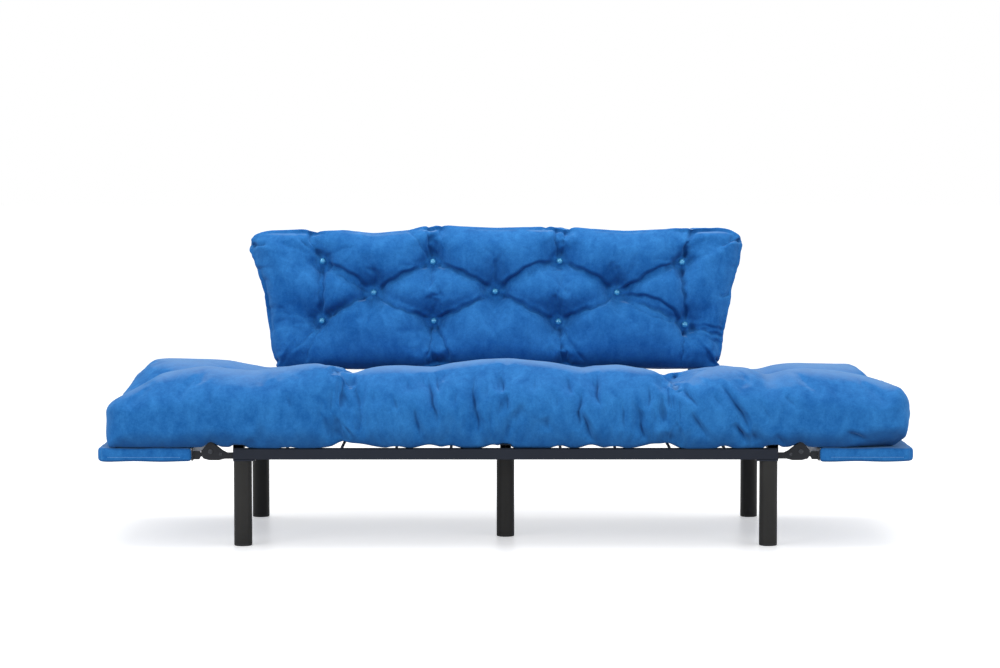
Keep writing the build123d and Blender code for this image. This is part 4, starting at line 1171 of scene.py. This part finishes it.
    def settle(self, points: np.ndarray) -> np.ndarray:
        """Rests the stuffed mattress on what carries it, pulled up a little where it is tufted.

        Args:
            points: The stuffed points.

        Returns:
            The settled points.
        """
        points = self.belly(points)
        x = np.abs(points[:, 0])
        y = points[:, 1]
        floor = np.where(y < FRONT_Y + 0.05, RAIL_REST, FRAME_REST)
        for rod in ROD_PLACES:
            floor = np.maximum(floor, ROD_REST - 0.4 * np.maximum(np.abs(x - rod) - 0.006, 0.0))
        floor[((x > 0.718) & (x < RAIL_END)) | (x < 0.017)] = BAR_REST
        floor = np.where(y < FRONT_Y - 0.0005, HEM_REST, floor)
        wing_top = float(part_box("left_wing_cover")[1][2]) + 0.0012
        floor[x > RAIL_END] = wing_top
        out = x - HINGE_X
        reach = np.where(out > 0.0, 0.022, 0.028)
        hump = 0.0265 - 0.023 * np.clip((np.abs(out + 0.002) - 0.006) / reach, 0.0, 1.0)
        near_hinge = np.minimum(np.abs(y - FRONT_Y - 0.015), np.abs(y - REAR_Y + 0.015)) < 0.03
        floor = np.where(near_hinge & (np.abs(out) < 0.05), np.maximum(floor, HINGE_Z + hump), floor)
        gaps = np.zeros(len(points))
        for place, half, height in self.lifts:
            gaps += height * np.exp(-(((points[:, 0] - place) / half) ** 2)) * (y < 0.0)
        curl = np.interp(points[:, 0], *np.array(self.curl).T)
        curl *= np.clip((0.375 - points[:, 2]) / 0.075, 0.0, 1.0)
        hem_line = np.where(x < 0.745, HEM_REST, floor) + gaps
        points = self.hang(points, hem_line)
        points[:, 2] = np.maximum(points[:, 2] + curl, floor + gaps)
        ahead = np.maximum(FRONT_Y - self.belly_start - points[:, 1], 0.0)
        points[:, 1] += ahead - self.belly_reach * np.tanh(ahead / self.belly_reach)
        points[:, 1] = np.minimum(points[:, 1], REAR_Y - 0.002)
        return points

    def belly(self, points: np.ndarray) -> np.ndarray:
        """Lets the front bulge over the rail and draws it in below, down to the hem.

        Args:
            points: The stuffed points.

        Returns:
            The moved points.
        """
        z = points[:, 2]
        near = np.clip((FRONT_Y + 0.090 - points[:, 1]) / 0.085, 0.0, 1.0)
        face = near * np.clip((0.47 - z) / 0.09, 0.0, 1.0)
        drop = np.clip(self.turn_z - z, 0.0, 0.068)
        turn = self.turn - np.sqrt(self.turn**2 - drop**2)
        points[:, 1] += face * (turn - self.belly_push)
        return points

    def hang(self, points: np.ndarray, floor: np.ndarray) -> np.ndarray:
        """Lets the lower front edge down onto the front rail and the wings.

        Args:
            points: The stuffed points.
            floor: How low the hem hangs at each.

        Returns:
            The moved points.
        """
        x, y, z = points.T
        edge = (y < FRONT_Y + 0.004) & (z < 0.36)
        bins = np.linspace(-1.08, 1.08, 145)
        places, drops = [], []
        for place in bins:
            near = np.nonzero(edge & (np.abs(x - place) < 0.012))[0]
            if len(near):
                lowest = near[np.argmin(z[near])]
                places.append(place)
                drops.append(min(floor[lowest] - z[lowest], 0.0))
        drops = np.interp(bins, places, drops)
        drops = np.convolve(np.pad(drops, 1, mode="edge"), (0.25, 0.5, 0.25), mode="valid")
        weight = np.clip((0.365 - z) / 0.075, 0.0, 1.0) * np.clip((-0.20 - y) / 0.10, 0.0, 1.0)
        points[:, 2] = z + np.interp(x, bins, drops) * weight
        return points

    def pleats(self, mesh: bpy.types.Mesh) -> None:
        """Presses the folds into the front face and round the tufts.

        Args:
            mesh: The refined mesh.
        """
        points = points_of(mesh)
        normals = normals_of(mesh)
        face = np.clip((-normals[:, 1] - 0.20) / 0.40, 0.0, 1.0)
        crown = np.clip((normals[:, 2] - 0.45) / 0.35, 0.0, 1.0)
        lift = np.zeros(len(points))
        front = np.ascontiguousarray(points[:, [0, 2]])
        front[:, 0] += 0.0013 * np.sin(front[:, 1] * 110.0 + front[:, 0] * 23.0)
        for fold in FRONT_FOLDS:
            calm = 0.55 + 0.45 * np.clip(np.abs(np.abs(front[:, 0]) - 0.425) / 0.09 - 0.4, 0.0, 1.0)
            lift += 2.15 * calm * face * fold.longer(1.4).press(front, 1.75, 1.6, True)
        for fold in TUFT_VALLEYS:
            lift += 1.2 * face * fold.press(front, 5.5, 2.0, True)
        x, z = front.T
        reach = np.clip((x + 0.60) / 0.12, 0.0, 1.0) * np.clip((0.66 - x) / 0.12, 0.0, 1.0)
        reach *= np.clip((z - 0.275) / 0.03, 0.0, 1.0) * np.clip((0.45 - z) / 0.06, 0.0, 1.0)
        wave = np.sin(x * 236.0 + 2.6 * np.sin(x * 11.0 + 0.8) + 1.6 * np.sin(z * 24.0 + x * 6.0))
        patch = 0.55 + 0.45 * np.sin(x * 17.0 + 2.0 * np.sin(z * 19.0 + 1.1))
        lift += 0.0014 * face * reach * patch * wave
        plan = np.ascontiguousarray(points[:, :2])
        for number in range(len(self.tufts)):
            x, y = self.spot(number)
            for turn in range(9):
                angle = 2.399963 * turn + 0.7 * number
                length = 0.055 + 0.045 * ((turn * 7 + number * 3) % 5) / 4.0
                tip = (x + length * math.cos(angle), y + length * math.sin(angle))
                lift += crown * Fold(Pleat.SLIGHT, ((x, y), tip)).press(plan, 1.5)
        for start, end in self.creases:
            lift += crown * Fold(Pleat.MIDDLE, (self.spot(start), self.spot(end))).press(plan, 1.6)
        move_points(mesh, points + normals * lift[:, None])

    def cut_finer(self, piece: bpy.types.Object) -> None:
        """Cuts the front face finer, so that it can hold sharp folds.

        Args:
            piece: The refined mattress.
        """
        shape = bmesh.new()
        shape.from_mesh(piece.data)
        shape.normal_update()
        face = [e for e in shape.edges if all(v.normal.y < -0.35 for v in e.verts)]
        bmesh.ops.subdivide_edges(shape, edges=face, cuts=1, use_grid_fill=True)
        shape.to_mesh(piece.data)
        shape.free()

    def build(self) -> list[bpy.types.Object]:
        """Makes the mattress and cuts it into a left and a right half.

        Returns:
            The left and the right half.
        """
        whole = object_from(grid_box(self.cuts), "mattress_whole", self.finish)
        shaped, pins = self.start_shape(points_of(whole.data))
        move_points(whole.data, shaped)
        inflate(whole, pins, 3.0, 0.035, 18, 0.028)
        points = self.match_rows(self.match_crest(self.match_ends(points_of(whole.data))))
        move_points(whole.data, self.settle(self.tie_down(points)))
        refine(whole)
        self.cut_finer(whole)
        self.pleats(whole.data)
        mark_folds(whole.data, 8, 85.0)
        halves = [self.half(whole, side) for side in Side]
        bpy.data.objects.remove(whole)
        for side, piece in zip(Side, halves):
            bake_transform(piece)
            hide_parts("seat_mattress", f"{side.word}_mattress_end")
        return halves

    def half(self, whole: bpy.types.Object, side: Side) -> bpy.types.Object:
        """Takes one half of the mattress, keeping the whole one's shading across the cut.

        Args:
            whole: The mattress.
            side: Which half to take.

        Returns:
            The half, closed at the cut.
        """
        shape = bmesh.new()
        shape.from_mesh(whole.data)
        layer = shape.verts.layers.float_vector.new("whole_normal")
        shape.normal_update()
        for vert in shape.verts:
            vert[layer] = vert.normal
        cut = bmesh.ops.bisect_plane(
            shape,
            geom=shape.verts[:] + shape.edges[:] + shape.faces[:],
            dist=1e-6,
            plane_co=(0, 0, 0),
            plane_no=(side.value, 0, 0),
            clear_inner=True,
        )
        rim = [e for e in cut["geom_cut"] if isinstance(e, bmesh.types.BMEdge)]
        bmesh.ops.edgeloop_fill(shape, edges=rim)
        piece = object_from(shape, f"{side.word}_mattress_half", self.finish)
        mesh = piece.data
        saved = np.empty(len(mesh.vertices) * 3, dtype=np.float32)
        mesh.attributes["whole_normal"].data.foreach_get("vector", saved)
        mesh.attributes.remove(mesh.attributes["whole_normal"])
        mesh.normals_split_custom_set_from_vertices(saved.reshape(-1, 3))
        return piece


@dataclass
class BackCushion:
    """The tufted cushion that leans on the back's bars."""

    finish: bpy.types.Material
    shift: float = -0.024
    along: float = 0.190 / math.cos(LEAN)
    gap: float = 0.0153
    half_width: float = 0.70
    height: float = 0.420
    tuft_depth: float = 0.0700
    crown: float = 0.132
    edge: float = 0.046
    corner: float = 0.042
    cuts: tuple[int, int, int] = (206, 62, 7)
    dimple: float = 0.044
    crease: tuple[float, float] = (0.015, 0.022)
    middle: float = 0.226
    button: Point = (0.0095, 0.0095, 0.0073)
    button_out: float = 0.0722
    tufts: tuple[tuple[float, float], ...] = (
        (-0.519, 0.138), (-0.187, 0.138), (0.183, 0.136), (0.558, 0.127),
        (-0.366, 0.223), (-0.005, 0.226), (0.357, 0.223),
        (-0.518, 0.317), (-0.190, 0.315), (0.187, 0.317), (0.551, 0.314),
    )
    top_line: tuple[tuple[float, float], ...] = (
        (-0.7375, 0.382), (-0.720, 0.391), (-0.690, 0.406), (-0.660, 0.412), (-0.571, 0.415), (-0.541, 0.409),
        (-0.452, 0.412), (-0.3625, 0.403), (-0.273, 0.412), (-0.214, 0.424), (-0.184, 0.427), (-0.124, 0.424),
        (-0.005, 0.418), (0.143, 0.421), (0.173, 0.424), (0.262, 0.418), (0.3815, 0.409), (0.5005, 0.415),
        (0.560, 0.421), (0.590, 0.424), (0.649, 0.421), (0.679, 0.418), (0.709, 0.406), (0.7356, 0.391),
    )
    left_line: tuple[tuple[float, float], ...] = (
        (0.0025, -0.658), (0.0555, -0.6705), (0.104, -0.6755), (0.163, -0.6855), (0.208, -0.690),
        (0.313, -0.7247), (0.360, -0.742), (0.385, -0.738),
    )
    right_line: tuple[tuple[float, float], ...] = (
        (0.006, 0.661), (0.0415, 0.6684), (0.1015, 0.6758), (0.192, 0.6958), (0.232, 0.7008), (0.312, 0.7255),
        (0.382, 0.7356),
    )

    def place(self) -> Matrix:
        """The cushion's own frame: X along, Y up the lean, Z forward out of the back."""
        up = Vector((0.0, math.sin(LEAN), math.cos(LEAN)))
        forward = Vector((0.0, -math.cos(LEAN), math.sin(LEAN)))
        foot = Vector((self.shift, REAR_Y + 0.022, 0.240))
        origin = foot + up * self.along + forward * self.gap
        turn = Matrix((Vector((1.0, 0.0, 0.0)), up, forward)).transposed().to_4x4()
        return Matrix.Translation(origin) @ turn

    def creases(self) -> list[tuple[tuple[float, float], tuple[float, float]]]:
        """The straight runs between neighbouring buttons.

        Returns:
            The two ends of each.
        """
        low, middle, high = self.tufts[:4], self.tufts[4:7], self.tufts[7:]
        runs = [(low[0], high[0]), (low[3], high[3])]
        for row in (low, high):
            for number, spot in enumerate(middle):
                runs += [(spot, row[number]), (spot, row[number + 1])]
        return runs

    def start_shape(self, points: np.ndarray) -> tuple[np.ndarray, np.ndarray]:
        """Forms the box into a tufted pillow in the cushion's own frame.

        Args:
            points: The unit box's points.

        Returns:
            The formed points, and how firmly each is held.
        """
        flat = points * 2.0
        level = flat[:, 2]
        half = (self.half_width, self.height / 2.0)
        plan = round_plan(flat[:, :2] * np.array(half), half, self.corner)
        y = plan[:, 1] + half[1]
        left = np.interp(y, *np.array(self.left_line).T)
        right = np.interp(y, *np.array(self.right_line).T)
        share = plan[:, 0] / (2.0 * self.half_width) + 0.5
        x = left + (right - left) * share
        plan = np.stack([x, y], axis=1)
        inner = np.min(np.array(half) - np.abs(flat[:, :2]) * np.array(half), axis=1)
        round_off = 1.0 - np.exp(-np.maximum(inner, 0.0) / 0.042)
        front = self.edge + (self.crown - self.edge) * round_off
        rear = 0.032 * (1.0 - round_off)
        z = rear + (front - rear) * (level + 1.0) / 2.0
        pins = np.zeros(len(points))
        face = level > 0.999
        behind = level < -0.999
        for spot in self.tufts:
            away = np.linalg.norm(plan - np.array(spot), axis=1)
            fall = np.exp(-((np.maximum(away - 0.009, 0.0) / self.dimple) ** 1.1))
            drop = np.maximum(z - self.tuft_depth, 0.0) * fall
            z = z - np.where(face, drop, 0.0)
            pins = np.maximum(pins, np.where(face | behind, np.clip(2.2 - away / 0.008, 0.0, 1.0), 0.0))
        depth, width = self.crease
        for first, last in self.creases():
            away = line_distance(plan, first, last)
            z = z - np.where(face, depth * np.exp(-((away / width) ** 2)), 0.0)
            pins = np.maximum(pins, np.where(face, 0.08 * np.exp(-((away / 0.008) ** 2)), 0.0))
        z = np.where(face, np.maximum(z, self.tuft_depth - 0.001), z)
        pins = np.where(behind, np.maximum(pins, 0.05), pins)
        return np.stack([x, y, z], axis=1), pins

    def match_outline(self, points: np.ndarray) -> np.ndarray:
        """Brings the top edge and both sides to their lines.

        Args:
            points: The stuffed points, in the cushion's own frame.

        Returns:
            The moved points.
        """
        middle = self.middle
        bins = np.linspace(-0.73, 0.73, 98)
        tops = np.array([points[np.abs(points[:, 0] - place) < 0.012, 1].max() for place in bins])
        growth = (np.interp(bins, *np.array(self.top_line).T) - middle) / np.maximum(tops - middle, 0.05)
        upper = points[:, 1] > middle
        scale = np.interp(points[:, 0], bins, growth)
        points[:, 1] = np.where(upper, middle + (points[:, 1] - middle) * scale, points[:, 1])
        lowest = points[:, 1].min()
        below = middle + (points[:, 1] - middle) * (-0.006 - middle) / (lowest - middle)
        points[:, 1] = np.where(upper, points[:, 1], below)
        rows = np.linspace(0.0, 0.40, 41)
        for line, sign in ((self.left_line, -1.0), (self.right_line, 1.0)):
            root = 0.56 * sign
            ends = []
            for row in rows:
                near = points[np.abs(points[:, 1] - row) < 0.010, 0]
                ends.append((near * sign).max() * sign)
            growth = (np.interp(rows, *np.array(line).T) - root) / (np.array(ends) - root)
            scale = np.interp(points[:, 1], rows, np.clip(growth, 0.5, 1.6))
            beyond = (points[:, 0] - root) * sign > 0.0
            points[:, 0] = np.where(beyond, root + (points[:, 0] - root) * scale, points[:, 0])
        points[:, 2] = np.clip(points[:, 2], 0.0, 0.150)
        return points

    def pleats(self, mesh: bpy.types.Mesh) -> None:
        """Presses the folds between the buttons into the front.

        Args:
            mesh: The refined mesh, in the cushion's own frame.
        """
        points = points_of(mesh)
        normals = normals_of(mesh)
        face = np.clip((normals[:, 2] + 0.15) / 0.40, 0.0, 1.0) * (points[:, 2] > 0.035)
        plan = np.ascontiguousarray(points[:, :2])
        plan[:, 0] += 0.0016 * np.sin(plan[:, 1] * 150.0 + 9.0 * plan[:, 0])
        plan[:, 1] += 0.0016 * np.sin(plan[:, 0] * 140.0)
        clear = np.ones(len(points))
        for spot in self.tufts:
            away = np.linalg.norm(points[:, :2] - np.array(spot), axis=1)
            clear = np.minimum(clear, np.clip((away - 0.008) / 0.012, 0.0, 1.0))
        lift = sum(fold.press(plan) for fold in BACK_FOLDS)
        move_points(mesh, points + normals * (face * clear * lift)[:, None])

    def build(self) -> bpy.types.Object:
        """Makes the cushion.

        Returns:
            The cushion.
        """
        piece = object_from(grid_box(self.cuts), "tufted_back_cushion", self.finish)
        shaped, pins = self.start_shape(points_of(piece.data))
        move_points(piece.data, shaped)
        inflate(piece, pins, 2.2, 0.045, 18, 0.024)
        move_points(piece.data, self.match_outline(points_of(piece.data)))
        refine(piece)
        move_points(piece.data, self.match_outline(points_of(piece.data)))
        self.pleats(piece.data)
        piece.data.transform(self.place())
        mark_folds(piece.data)
        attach(piece, "frame")
        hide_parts("back_cushion")
        return piece

    def buttons(self, finish: bpy.types.Material) -> bpy.types.Object:
        """Makes the domed buttons.

        Args:
            finish: Their lacquer.

        Returns:
            The buttons, as one piece.
        """
        shape = bmesh.new()
        dome = Matrix.Diagonal((*self.button, 1.0))
        for x, y in self.tufts:
            spot = self.place() @ Matrix.Translation((x, y, self.button_out)) @ dome
            bmesh.ops.create_uvsphere(shape, u_segments=28, v_segments=16, radius=1.0, matrix=spot)
        piece = object_from(shape, "pearl_back_buttons", finish)
        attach(piece, "frame")
        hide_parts("back_buttons")
        return piece


@dataclass
class WingPanel:
    """A folding end: a padded board in a sewn cover, with white wadding at its inner edge."""

    side: Side
    finish: bpy.types.Material
    wadding: bpy.types.Material
    corner: float = 0.034
    edge: float = 0.0085
    cuts: tuple[int, int, int] = (44, 96, 5)
    ripple: float = 0.0009
    welt_inset: float = 0.060
    welt_size: tuple[float, float] = (0.0030, 0.0018)
    welt_up: float = 0.013
    wadding_width: float = 0.006

    def cover(self) -> bpy.types.Object:
        """Makes the sewn cover.

        Returns:
            The cover.
        """
        node = f"{self.side.word}_wing_cover"
        low, high = (np.array(corner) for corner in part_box(node))
        half, centre = (high - low) / 2.0, (high + low) / 2.0
        piece = object_from(grid_box(self.cuts), f"{self.side.word}_wing_upholstery", self.finish)
        flat = points_of(piece.data) * 2.0 * half
        shaped = rounded(flat, half, self.edge, self.edge)
        outer = flat[:, 0] * self.side.value > half[0] - 0.06
        for end in (-1.0, 1.0):
            middle = np.array([self.side.value * (half[0] - self.corner), end * (half[1] - self.corner)])
            out = shaped[:, :2] - middle
            beyond = outer & (out[:, 0] * self.side.value > 0.0) & (out[:, 1] * end > 0.0)
            reach = np.maximum(np.abs(out[:, 0]), np.abs(out[:, 1]))
            length = np.maximum(np.linalg.norm(out, axis=1), 1e-9)
            shaped[beyond, :2] = middle + (out * (reach / length)[:, None])[beyond]
        ripple = np.sin(shaped[:, 0] * 41.0 + 3.0 * np.sin(shaped[:, 1] * 13.0))
        ripple = ripple * np.sin(shaped[:, 1] * 29.0 + 1.7)
        shaped[:, 2] += self.ripple * ripple * np.sign(flat[:, 2])
        move_points(piece.data, shaped + centre)
        refine(piece)
        mark_folds(piece.data, 3, 40.0)
        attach(piece, f"{self.side.word}_wing")
        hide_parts(node)
        return piece

    def seam(self, finish: bpy.types.Material) -> bpy.types.Object:
        """Makes the welt that runs low along the front of the cover.

        Args:
            finish: Its cloth, paler than the velvet as a painted highlight along the seam.

        Returns:
            The welt.
        """
        low, high = (Vector(corner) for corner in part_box(f"{self.side.word}_wing_cover"))
        welt = bmesh.new()
        bmesh.ops.create_cube(welt, size=1.0)
        size = Vector((high.x - low.x - self.welt_inset, *self.welt_size))
        bmesh.ops.scale(welt, vec=size, verts=welt.verts)
        bmesh.ops.bevel(
            welt, geom=welt.edges[:], offset=0.0006, segments=2, profile=0.5, affect="EDGES", material=-1
        )
        middle = Vector(((low.x + high.x) / 2, low.y + 0.0008, low.z + self.welt_up))
        bmesh.ops.translate(welt, vec=middle, verts=welt.verts)
        piece = object_from(welt, f"{self.side.word}_wing_welt", finish)
        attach(piece, f"{self.side.word}_wing")
        return piece

    def hem(self) -> bpy.types.Object:
        """Makes the strip of wadding that shows along the inner edge.

        Returns:
            The strip.
        """
        low, high = (Vector(corner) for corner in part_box(f"{self.side.word}_wing_cover"))
        inner = high.x if self.side is Side.LEFT else low.x
        strip = bmesh.new()
        bmesh.ops.create_cube(strip, size=1.0)
        size = Vector((self.wadding_width, high.y - low.y - 0.020, high.z - low.z - 0.006))
        bmesh.ops.scale(strip, vec=size, verts=strip.verts)
        bmesh.ops.bevel(
            strip, geom=strip.edges[:], offset=0.0022, segments=3, profile=0.5, affect="EDGES", material=-1
        )
        middle = Vector((inner - self.side.value * 0.0005, (low.y + high.y) / 2, (low.z + high.z) / 2))
        bmesh.ops.translate(strip, vec=middle, verts=strip.verts)
        piece = object_from(strip, f"{self.side.word}_wing_wadding_edge", self.wadding)
        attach(piece, f"{self.side.word}_wing")
        return piece


@dataclass
class Metalwork:
    """The painted, plated, moulded and hidden pieces that keep their solid shapes."""

    finishes: dict[str, bpy.types.Material]

    def dress(self) -> int:
        """Gives every carried-over piece its finish.

        Returns:
            The number of pieces dressed.
        """
        slots = {entry["node"]: entry["material_slot"] for entry in frame["record"]["subparts"]}
        count = 0
        for node, piece in frame["nodes"].items():
            finish = self.finishes.get(slots[node])
            if finish is None:
                continue
            piece.data.materials.clear()
            piece.data.materials.append(finish)
            count += 1
        return count


@dataclass
class Studio:
    """The floor, the soft light and the camera."""

    camera_place: Point = (-0.0287, -8.399, 1.122)
    pitch: float = 0.06685
    yaw: float = 0.00163
    lens: float = 105.24
    soft_colour: Colour = (0.95, 0.968, 0.995)
    soft_strength: float = 0.78
    floor_colour: Colour = (0.87, 0.86, 0.85)
    floor_glow: float = 0.41
    lamps: tuple[tuple[str, Point, Point, tuple[float, float], float], ...] = (
        ("top_box", (0.0, 0.2, 3.6), (0.0, 0.0, 0.3), (4.5, 2.6), 84.0),
        ("left_box", (-3.2, -3.4, 2.6), (0.0, 0.0, 0.45), (2.4, 2.4), 43.0),
        ("right_box", (3.4, -3.0, 2.2), (0.0, 0.0, 0.45), (2.2, 2.2), 22.0),
    )

    def backdrop_light(self) -> None:
        """White behind the object, and a soft even light all round."""
        world = bpy.data.worlds.new("studio")
        bpy.context.scene.world = world
        world.use_nodes = True
        tree = world.node_tree
        tree.nodes.clear()
        path = tree.nodes.new("ShaderNodeLightPath")
        seen = tree.nodes.new("ShaderNodeMath")
        seen.operation = "MAXIMUM"
        tree.links.new(path.outputs["Is Camera Ray"], seen.inputs[0])
        tree.links.new(path.outputs["Is Transmission Ray"], seen.inputs[1])
        soft = tree.nodes.new("ShaderNodeBackground")
        soft.inputs["Color"].default_value = (*self.soft_colour, 1.0)
        soft.inputs["Strength"].default_value = self.soft_strength
        white = tree.nodes.new("ShaderNodeBackground")
        white.inputs["Color"].default_value = (1.0, 1.0, 1.0, 1.0)
        white.inputs["Strength"].default_value = 1.0
        mix = tree.nodes.new("ShaderNodeMixShader")
        tree.links.new(seen.outputs[0], mix.inputs[0])
        tree.links.new(soft.outputs[0], mix.inputs[1])
        tree.links.new(white.outputs[0], mix.inputs[2])
        output = tree.nodes.new("ShaderNodeOutputWorld")
        tree.links.new(mix.outputs[0], output.inputs["Surface"])

    def floor(self) -> bpy.types.Object:
        """A pale floor that keeps the object's shadow.

        Returns:
            The floor.
        """
        paint = Paint("pale_floor")
        seen = paint.node("ShaderNodeLightPath", None, None, "Is Camera Ray")
        grain = paint.clouds(3.0, 2.0)
        paint.dress(Base_Color=self.floor_colour, Roughness=0.32 + 0.06 * grain, Specular_IOR_Level=0.35)
        glow = paint.tree.nodes.new("ShaderNodeEmission")
        glow.inputs["Color"].default_value = (1.0, 1.0, 1.0, 1.0)
        paint.tree.links.new((seen * self.floor_glow).socket, glow.inputs["Strength"])
        both = paint.tree.nodes.new("ShaderNodeAddShader")
        paint.tree.links.new(paint.shader.outputs[0], both.inputs[0])
        paint.tree.links.new(glow.outputs[0], both.inputs[1])
        output = next(n for n in paint.tree.nodes if n.type == "OUTPUT_MATERIAL")
        paint.tree.links.new(both.outputs[0], output.inputs["Surface"])
        ground = bmesh.new()
        bmesh.ops.create_grid(ground, x_segments=1, y_segments=1, size=40.0)
        piece = object_from(ground, "floor", paint.material)
        return piece

    def lamp(self, name: str, place: Point, aim: Point, size: tuple[float, float], power: float) -> None:
        """Adds one soft box.

        Args:
            name: The lamp's name.
            place: Where it stands.
            aim: What it points at.
            size: Its width and height.
            power: Its strength in watts.
        """
        light = bpy.data.lights.new(name, "AREA")
        light.shape = "RECTANGLE"
        light.size, light.size_y = size
        light.energy = power
        lamp = bpy.data.objects.new(name, light)
        lamp.location = place
        lamp.rotation_euler = (Vector(aim) - Vector(place)).to_track_quat("-Z", "Y").to_euler()
        bpy.context.scene.collection.objects.link(lamp)

    def camera(self) -> None:
        """Sets up the camera at the photograph's viewing angle."""
        lens = bpy.data.cameras.new("view")
        lens.lens = self.lens
        lens.sensor_width = 36.0
        lens.sensor_fit = "HORIZONTAL"
        lens.clip_end = 200.0
        eye = bpy.data.objects.new("view", lens)
        eye.location = self.camera_place
        eye.rotation_euler = (math.pi / 2 - self.pitch, 0.0, -self.yaw)
        bpy.context.scene.collection.objects.link(eye)
        bpy.context.scene.camera = eye

    def build(self) -> None:
        """Sets up the whole studio."""
        bpy.context.scene.view_settings.view_transform = "Standard"
        self.backdrop_light()
        self.floor()
        for lamp in self.lamps:
            self.lamp(*lamp)
        self.camera()


def main() -> None:
    """Builds and dresses the whole sofa bed."""
    logging.basicConfig(level=logging.INFO, format="%(asctime)s %(message)s")
    velvet = Velvet().make()
    # the welt is piping along the seam, coloured paler than the velvet as a painted highlight on it
    welt = Woven("pale_blue_welt", (0.10, 0.29, 0.62), (0.05, 0.19, 0.48)).make()
    wadding = Woven("white_wadding", (0.86, 0.86, 0.84), (0.66, 0.66, 0.65)).make()
    charcoal = PowderCoat("charcoal_powder_coat", (0.014, 0.0135, 0.0125), (0.025, 0.024, 0.022), 0.40)
    black = PowderCoat("black_powder_coat", (0.007, 0.0085, 0.012), (0.016, 0.018, 0.023), 0.38)
    finishes = {
        "frame_paint": PowderCoat("dark_powder_coat", (0.0055, 0.0095, 0.0205), (0.010, 0.015, 0.027)).make(),
        "leg_paint": charcoal.make(),
        "hinge_paint": black.make(),
        "plain_steel": Plated().make(),
        "pearl_button": Pearl().make(),
        "black_plastic": Moulded("black_plastic", (0.012, 0.012, 0.013)).make(),
        "webbing": Woven("blue_webbing", (0.03, 0.14, 0.38), (0.012, 0.07, 0.22)).make(),
        "twine": Woven("blue_twine", (0.03, 0.16, 0.42), (0.012, 0.07, 0.22)).make(),
        "wadding": wadding,
        "board": Chipboard().make(),
    }
    log.info("dressed %d solid pieces", Metalwork(finishes).dress())
    for half in Mattress(velvet).build():
        log.info("built %s", half.name)
    cushion = BackCushion(velvet)
    log.info("built %s and %s", cushion.build().name, cushion.buttons(finishes["pearl_button"]).name)
    for side in Side:
        panel = WingPanel(side, velvet, wadding)
        log.info("built %s and %s", panel.cover().name, panel.hem().name)
        log.info("built %s", panel.seam(welt).name)
    Studio().build()


if __name__ == "__main__":
    main()
